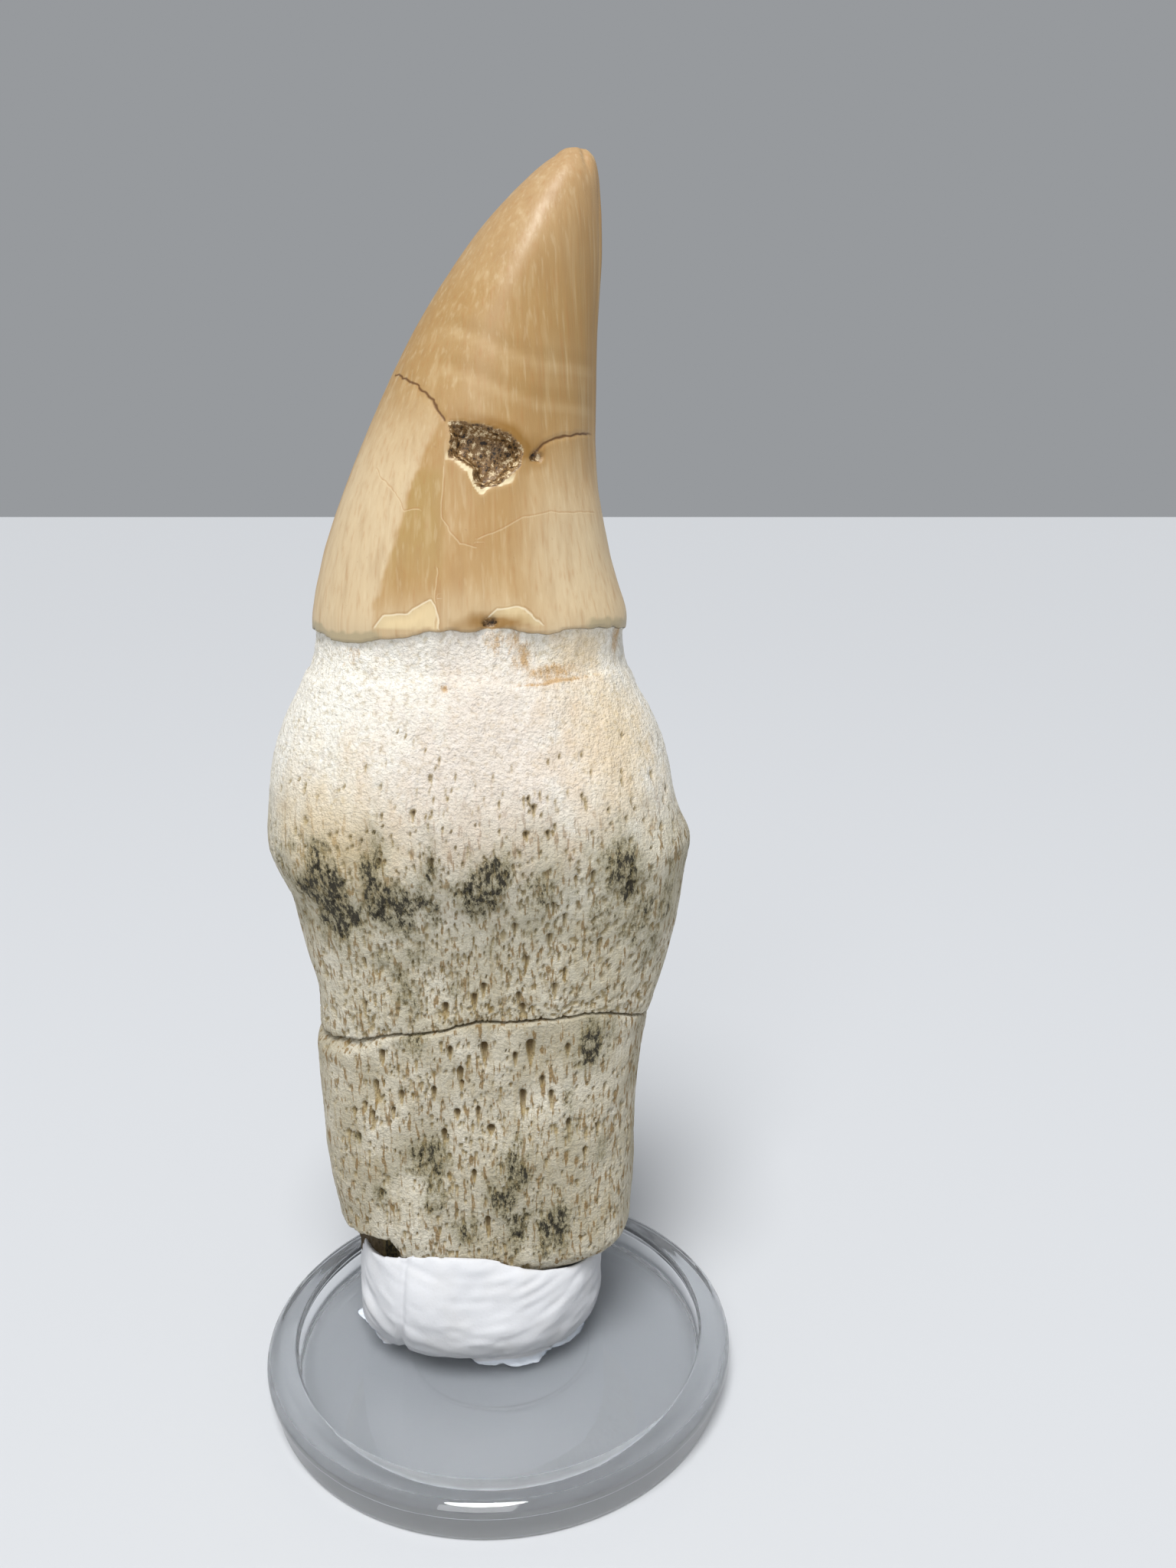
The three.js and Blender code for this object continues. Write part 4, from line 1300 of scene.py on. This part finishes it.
class SPECIMEN_OT_tooth(bpy.types.Operator):
    """Builds the crown and the upper root, grown as one piece, over the frame's tooth"""

    bl_idname = "specimen.tooth"
    bl_label = "Crown and upper root"

    def execute(self, context):
        settings = context.scene.specimen_tooth
        surface = cad_surface("tooth")
        middle = middle_line(surface, cad_surface("root_end"))
        breaks = break_table(surface)
        angles = column_angles(settings.crown_columns)
        read_rows = np.append(np.arange(UPPER_READ_FROM, UPPER_READ_TO, READ_SPACING), LAST_ROW)
        radii = side_radii(surface, middle, read_rows, angles, across=60, up=16)
        edge = break_edge(breaks, middle, read_rows, radii, CROWN_EDGE_READ, angles)
        lower_rows = np.linspace(0, 1, CROWN_BREAK_ROWS, endpoint=False)[:, None]
        levels = np.repeat(spaced_heights(CROWN_START, CROWN_BANDS)[:, None], len(angles), axis=1)
        heights = np.concatenate([edge + lower_rows * (CROWN_START - edge), levels])
        places = grid_places(middle, read_rows, radii, heights, angles)
        side, masks = self.dressed(places, grid_normals(places), heights - edge, settings)
        tip_height = side[-1, :, 2].mean()

        def underside(x, y, share):
            return break_height(breaks, x, y)

        def rounded_tip(x, y, share):
            return tip_height + 0.06 * (1 - share**2)

        bottom = cap_rings(side[0], underside, BREAK_RINGS)
        top = cap_rings(side[-1], rounded_tip, TIP_RINGS)[::-1]
        piece = wrap_grid("crown_and_upper_root", side, bottom, top, masks)
        piece.data.materials.append(enamel_material(settings))
        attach(piece, "root")
        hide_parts("tooth")
        return {"FINISHED"}

    def dressed(self, places, normals, above_break, settings):
        """The side with its relief, and the masks that its material reads."""
        x, z = places[..., 0], places[..., 2]
        front = smoothstep(0.1, 0.45, -normals[..., 1])
        wander = 0.12 * value_noise(places, 0.9, 27) + 0.07 * value_noise(places, 0.4, 28)
        ragged = 0.3 * fractal(places, 1.6, 21, 3)
        edge = front * np.interp(x, *np.array(ENAMEL_FOOT).T) + (1 - front) * ENAMEL_EDGE + ragged
        above_edge = z - edge
        crown = smoothstep(-0.12, 0.12, above_edge)

        lines = enamel_lines(x + wander, z + wander, front * crown)
        crack = lines["crack_near"] * smoothstep(0.22, 0.03, np.abs(lines["crack_offset"]))
        lifted = lines["flake_near"] * smoothstep(0.0, -0.2, lines["flake_offset"])
        sunk, in_hole, rim, amber = enamel_hole(places, front, wander, settings.hole_depth / MM)
        pit, bone_pit = small_pits(x, z, front, wander)
        enamel = enamel_relief(places, normals, front) - sunk
        enamel -= 0.1 * crack + 0.05 * lifted + 0.12 * rim + 0.4 * pit
        enamel += settings.enamel_step / MM * smoothstep(6, 0, above_edge)

        belt = band(z, STAIN_BELT) * (0.45 + 0.5 * fractal(places, (2, 2, 4), 49, 2))
        upper_stains = blots(places, normals, UPPER_STAINS, 41)
        back_stains = back_blots(places, low=43, high=53, count=16, seed=42)
        stain_and_notch_shade = np.maximum.reduce([upper_stains, back_stains, belt]) * (1 - crown)
        small = scattered_pores(places, low=33, high=64, count=2300, seed=43, smallest=0.09, largest=0.18)
        pores = carved(places, placed_pores(places, normals, UPPER_PORES) + small) * (1 - crown)
        # Chalky upper part of the root: a sugary surface, painted whiter partly as light on the top that
        # faces the light from above.
        chalk_and_top_light = smoothstep(52, 60, z + 1.5 * fractal(places, 4, 50, 3)) * (1 - crown)
        bone_edge = BONE_EDGE + 0.5 * fractal(places, 3.0, 24, 3)
        collar = smoothstep(-0.3, 0.3, z - bone_edge) * (1 - crown)
        ledge = front * smoothstep(0.3, 0.05, np.abs(z - bone_edge)) * band(x, LEDGE_BAND)
        bone = root_relief(places, pores, stain_and_notch_shade, chalk_and_top_light, settings)
        bone += collar * (0.07 * fractal(places, 0.9, 45, 3) - 0.12) - 0.2 * bone_pit

        relief = crown * enamel + (1 - crown) * bone - crumbled(places, above_break, 47)
        spots = {name: blots(places, normals, group, 48) for name, group in COLOUR_SPOTS.items()}
        masks = {
            "above_edge": above_edge,
            "hole": np.maximum(in_hole, pit),
            "rim": rim,
            "amber": np.maximum(amber, spots["amber"]),
            "chalk_and_top_light": chalk_and_top_light,
            "pore": pores,
            "clay": np.zeros(x.shape),
            "stain_and_notch_shade": stain_and_notch_shade,
            "ochre": spots["ochre"],
            "pink": spots["pink"],
            # The ledge adds a thin brown line along the bone's edge to the rust colour.
            "rust": np.maximum(spots["rust"], 0.8 * bone_pit) + 0.8 * ledge,
            **lines,
        }
        for name, mask in crown_colours(places, normals, front, wander, above_edge).items():
            masks[name] = mask * crown
        return places + normals * relief[..., None], masks


class SPECIMEN_OT_root_end(bpy.types.Operator):
    """Builds the lower end of the root, below the glued break"""

    bl_idname = "specimen.root_end"
    bl_label = "Lower end of the root"

    def execute(self, context):
        settings = context.scene.specimen_tooth
        tooth = cad_surface("tooth")
        surface = cad_surface("root_end")
        middle = middle_line(tooth, surface)
        breaks = break_table(tooth)
        angles = column_angles(settings.root_columns)
        read_rows = np.arange(FIRST_ROW, LOWER_READ_TO, READ_SPACING)
        radii = side_radii(surface, middle, read_rows, angles, across=90, up=20)
        edge = break_edge(breaks, middle, read_rows, radii, ROOT_EDGE_READ, angles) - BREAK_GAP
        upper_rows = np.linspace(0, 1, ROOT_BREAK_ROWS + 1)[1:, None]
        levels = np.repeat(spaced_heights(FIRST_ROW, ROOT_BANDS)[:, None], len(angles), axis=1)
        heights = np.concatenate([levels, ROOT_END_LEVEL + upper_rows * (edge - ROOT_END_LEVEL)])
        places = grid_places(middle, read_rows, radii, heights, angles)
        side, masks = self.dressed(places, grid_normals(places), edge - heights, settings)
        bottom_height = side[0, :, 2].mean()

        def flat_end(x, y, share):
            return bottom_height

        def upper_face(x, y, share):
            return break_height(breaks, x, y) - BREAK_GAP

        bottom = cap_rings(side[0], flat_end, ROOT_END_RINGS)
        top = cap_rings(side[-1], upper_face, BREAK_RINGS)[::-1]
        piece = wrap_grid("lower_root", side, bottom, top, masks)
        # The lower root takes the bone's colour painted darker as shade.
        piece.data.materials.append(bone_material("fossil bone of the lower root", settings.shaded_lower_bone))
        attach(piece, "root")
        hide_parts("root_end")
        return {"FINISHED"}

    def dressed(self, places, normals, below_break, settings):
        """The side with its relief, and the masks that its material reads."""
        x, z = places[..., 0], places[..., 2]
        back_stains = back_blots(places, low=14, high=33, count=14, seed=61)
        stain_and_notch_shade = np.maximum(blots(places, normals, LOWER_STAINS, 62), back_stains)
        small = scattered_pores(places, low=11, high=60, count=1900, seed=63, smallest=0.08, largest=0.22)
        pores = carved(places, placed_pores(places, normals, LOWER_PORES) + small)
        wander = 0.2 * fractal(places, 1.4, 65, 3)
        notch_offset = outline_offset(x + wander, z + wander, NOTCH_OUTLINE)
        notch = smoothstep(0.0, -0.3, notch_offset) * smoothstep(7, 4, places[..., 1])
        relief = root_relief(places, pores, stain_and_notch_shade, 0, settings) - crumbled(places, below_break, 69)
        relief -= notch * (NOTCH_DEPTH + 0.3 * fractal(places, 0.9, 67, 3))
        masks = {
            "pore": pores,
            # The notch's right part is painted dark as shade in its recess, through the stain masks.
            "stain_and_notch_shade": np.maximum(stain_and_notch_shade, notch * smoothstep(-12.5, -10.5, x)),
            "clay": notch,
        }
        return places + normals * relief[..., None], masks


class SPECIMEN_OT_putty(bpy.types.Operator):
    """Builds the putty from a copy of the frame's solid, with finger strokes and a thin ragged foot"""

    bl_idname = "specimen.putty"
    bl_label = "Putty"

    def execute(self, context):
        settings = context.scene.specimen_putty
        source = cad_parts["putty"]
        select_only(source)
        bpy.ops.object.duplicate()
        piece = context.object
        piece.name = "putty_mound"
        piece.parent = None
        for key in list(piece.keys()):
            del piece[key]
        piece.data.materials.clear()
        bpy.ops.object.mode_set(mode="EDIT")
        bpy.ops.mesh.select_all(action="SELECT")
        bpy.ops.mesh.remove_doubles(threshold=1e-6)
        bpy.ops.object.mode_set(mode="OBJECT")
        remesh = piece.modifiers.new("even faces", "REMESH")
        remesh.mode = "VOXEL"
        remesh.voxel_size = settings.mesh_size
        bpy.ops.object.modifier_apply(modifier=remesh.name)
        smooth = piece.modifiers.new("pressed smooth", "SMOOTH")
        smooth.iterations = 14
        bpy.ops.object.modifier_apply(modifier=smooth.name)
        self.press(piece, settings)
        bpy.ops.object.shade_smooth()
        piece.data.materials.append(putty_material(settings))
        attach(piece, "root")
        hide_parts("putty")
        return {"FINISHED"}

    def press(self, piece, settings):
        """Moves the points into finger strokes, a soft crease and the ragged foot."""
        mesh = piece.data
        places = read_points(mesh).astype(float) / MM
        normals = read_points(mesh, "normal").astype(float)
        x, y, z = places.T
        top = z.max()
        front_rise = np.interp(x, *np.array(LIP_RISE).T)
        back_rise = 0.6 + 0.4 * value_noise(places, 4, 77)
        rise = np.where(y < PUTTY_MIDDLE[1], front_rise, back_rise)
        places[:, 2] += rise * smoothstep(top - 3.5, top - 0.6, z)
        away = np.stack([x - PUTTY_MIDDLE[0], y - PUTTY_MIDDLE[1]], axis=-1)
        distance = np.linalg.norm(away, axis=-1)
        away /= np.maximum(distance, 1e-6)[:, None]
        outer = smoothstep(0.0, 0.5, np.sum(away * normals[:, :2], axis=-1)) * smoothstep(6, 9, distance)

        swept = np.stack([x * 0.25, y * 0.25, z - 0.03 * (x + 2) ** 2 * (y < PUTTY_MIDDLE[1])], axis=-1)
        strokes = 0.6 * value_noise(swept, 0.55, 71) + 0.8 * value_noise(swept, 1.3, 72)
        dents = 0.16 * value_noise(places, 3.2, 73) + 0.05 * value_noise(places, 1.0, 74)
        front = smoothstep(0.1, 0.5, -normals[:, 1])
        crease = 0.35 * groove(x, z, PUTTY_CREASE) * front
        relief = outer * (settings.stroke_depth / MM * strokes + dents - crease)
        places = places + normals * relief[:, None]

        foot = np.array(PUTTY_FOOT) - np.array(PUTTY_MIDDLE)
        foot_angles = np.arctan2(foot[:, 1], foot[:, 0])
        angles = np.arctan2(y - PUTTY_MIDDLE[1], x - PUTTY_MIDDLE[0])
        foot_reach = np.interp(angles, foot_angles, np.hypot(*foot.T), left=0, right=0)
        flat_places = np.stack([x, y, 0 * z], axis=-1)
        teeth = 0.3 * value_noise(flat_places, 0.5, 75) + 0.25 * value_noise(flat_places, 1.2, 76)
        low = smoothstep(2.3, 1.6, z) * smoothstep(6, 8, distance)
        push = low * np.maximum(foot_reach + teeth - distance, 0.6 * teeth)
        places[:, :2] += away * push[:, None]
        skirt = smoothstep(0.3, 1.0, push) * smoothstep(2.2, 1.7, z)
        write_places(mesh, places)
        mesh.attributes.new("skirt", "FLOAT", "POINT").data.foreach_set("value", skirt.astype(np.float32))
        mesh.update()


class SPECIMEN_OT_clear_base(bpy.types.Operator):
    """Spins the clear dish from half of its section"""

    bl_idname = "specimen.clear_base"
    bl_label = "Clear dish"

    def execute(self, context):
        settings = context.scene.specimen_dish
        section = rounded_section(DISH_SECTION)
        bpy.ops.object.select_all(action="DESELECT")
        bpy.ops.mesh.primitive_circle_add(vertices=len(section), radius=DISH_RADIUS * MM)
        piece = context.object
        piece.name = "clear_dish"
        for vertex, (radius, height) in zip(piece.data.vertices, section):
            vertex.co = (radius * MM, 0, height * MM)
        bpy.ops.object.mode_set(mode="EDIT")
        bpy.ops.mesh.select_mode(type="EDGE")
        bpy.ops.mesh.select_all(action="DESELECT")
        bpy.ops.object.mode_set(mode="OBJECT")
        for edge in piece.data.edges:
            edge.select = set(edge.vertices) == {0, len(section) - 1}
        bpy.ops.object.mode_set(mode="EDIT")
        bpy.ops.mesh.delete(type="EDGE")
        bpy.ops.mesh.select_mode(type="VERT")
        bpy.ops.mesh.select_all(action="SELECT")
        bpy.ops.mesh.spin(steps=settings.steps, angle=2 * pi, center=(0, 0, 0), axis=(0, 0, 1))
        bpy.ops.mesh.select_all(action="SELECT")
        bpy.ops.mesh.remove_doubles(threshold=1e-6)
        bpy.ops.mesh.normals_make_consistent(inside=False)
        bpy.ops.object.mode_set(mode="OBJECT")
        places = read_points(piece.data).astype(float) / MM
        wave = settings.waviness / MM * fractal(places, (3.5, 3.5, 1.5), 81, 2)
        radius = np.hypot(places[:, 0], places[:, 1])
        wave *= smoothstep(17, 19.5, radius) * smoothstep(0.2, 1.4, places[:, 2])
        places[:, :2] *= 1 - np.abs(wave)[:, None] / DISH_RADIUS
        write_places(piece.data, places)
        select_only(piece)
        bpy.ops.object.shade_smooth_by_angle(angle=radians(35))
        piece.data.materials.append(clear_material(settings))
        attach(piece, "root")
        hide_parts("clear_base")
        return {"FINISHED"}


class SPECIMEN_OT_stage(bpy.types.Operator):
    """Sets up the camera, the plain pale floor and the soft studio light"""

    bl_idname = "specimen.stage"
    bl_label = "Camera, floor and light"

    def execute(self, context):
        settings = context.scene.specimen_stage
        bpy.ops.object.select_all(action="DESELECT")
        bpy.ops.object.camera_add(location=CAMERA_PLACE, rotation=(pi / 2 - settings.tilt, 0, 0))
        camera = context.object
        camera.data.sensor_fit = "VERTICAL"
        camera.data.sensor_height = 36
        camera.data.lens = settings.focal_length
        camera.data.clip_start = 0.005
        context.scene.camera = camera

        bpy.ops.mesh.primitive_plane_add(size=12, location=(0, 0, -FLOOR_DROP))
        floor = context.object
        floor.name = "studio_floor"
        floor.data.materials.append(self.floor_material(settings))

        self.lamp("AREA", "soft_box", SOFT_BOX_PLACE, settings.box_power).size = 0.22
        self.lamp("SUN", "key", KEY_PLACE, settings.key_power).angle = radians(24)
        world = bpy.data.worlds.new("studio")
        context.scene.world = world
        world.use_nodes = True
        background = world.node_tree.nodes["Background"]
        background.inputs["Color"].default_value = opaque("#E9EDF2")
        background.inputs["Strength"].default_value = settings.fill_power
        context.scene.view_settings.view_transform = "Standard"
        return {"FINISHED"}

    def floor_material(self, settings):
        """Painted board with an eggshell finish: plain, matt and pale, so nothing shows in it."""
        material, tree = new_material("matt painted board")
        place = add_node(tree, "ShaderNodeTexCoord").outputs["Object"]
        mottle = add_node(
            tree, "ShaderNodeTexNoise", {"Scale": per_metre(0.6), "Detail": 2}, {"Vector": place}
        ).outputs["Fac"]
        bump = add_node(
            tree, "ShaderNodeBump", {"Strength": 0.05, "Distance": 0.05 * MM}, {"Height": mottle}
        ).outputs["Normal"]
        shader = add_node(
            tree,
            "ShaderNodeBsdfPrincipled",
            {"Base Color": (*settings.floor, 1), "Roughness": 0.8},
            {"Normal": bump},
        )
        add_node(tree, "ShaderNodeOutputMaterial", {}, {"Surface": shader.outputs[0]})
        return material

    def lamp(self, kind, name, place, power):
        """A lamp that faces the middle of the tooth."""
        bpy.ops.object.light_add(type=kind, location=place)
        lamp = bpy.context.object
        lamp.name = name
        lamp.rotation_euler = (Vector(LAMP_TARGET) - Vector(place)).to_track_quat("-Z", "Y").to_euler()
        lamp.data.energy = power
        return lamp.data


class SPECIMEN_PT_panel(bpy.types.Panel):
    """Lists the pieces of the specimen in the sidebar"""

    bl_idname = "SPECIMEN_PT_panel"
    bl_label = "Fossil tooth"
    bl_space_type = "VIEW_3D"
    bl_region_type = "UI"
    bl_category = "Specimen"

    def draw(self, context):
        for operator in OPERATORS:
            self.layout.operator(operator.bl_idname)
        for group in GROUPS:
            settings = getattr(context.scene, group)
            for name in settings.__annotations__:
                self.layout.prop(settings, name)


GROUPS = {
    "specimen_tooth": ToothSettings,
    "specimen_putty": PuttySettings,
    "specimen_dish": DishSettings,
    "specimen_stage": StageSettings,
}
OPERATORS = (
    SPECIMEN_OT_stage,
    SPECIMEN_OT_clear_base,
    SPECIMEN_OT_putty,
    SPECIMEN_OT_root_end,
    SPECIMEN_OT_tooth,
)


def register():
    """Registers the settings, the operators and the panel."""
    for name, group in GROUPS.items():
        bpy.utils.register_class(group)
        setattr(bpy.types.Scene, name, PointerProperty(type=group))
    for item in (*OPERATORS, SPECIMEN_PT_panel):
        bpy.utils.register_class(item)


def unregister():
    """Takes them all away again."""
    for item in (SPECIMEN_PT_panel, *reversed(OPERATORS)):
        bpy.utils.unregister_class(item)
    for name, group in GROUPS.items():
        delattr(bpy.types.Scene, name)
        bpy.utils.unregister_class(group)


def main():
    """Builds the specimen piece by piece."""
    register()
    bpy.ops.specimen.stage()
    bpy.ops.specimen.clear_base()
    bpy.ops.specimen.putty()
    bpy.ops.specimen.root_end()
    bpy.ops.specimen.tooth()


if __name__ == "__main__":
    main()
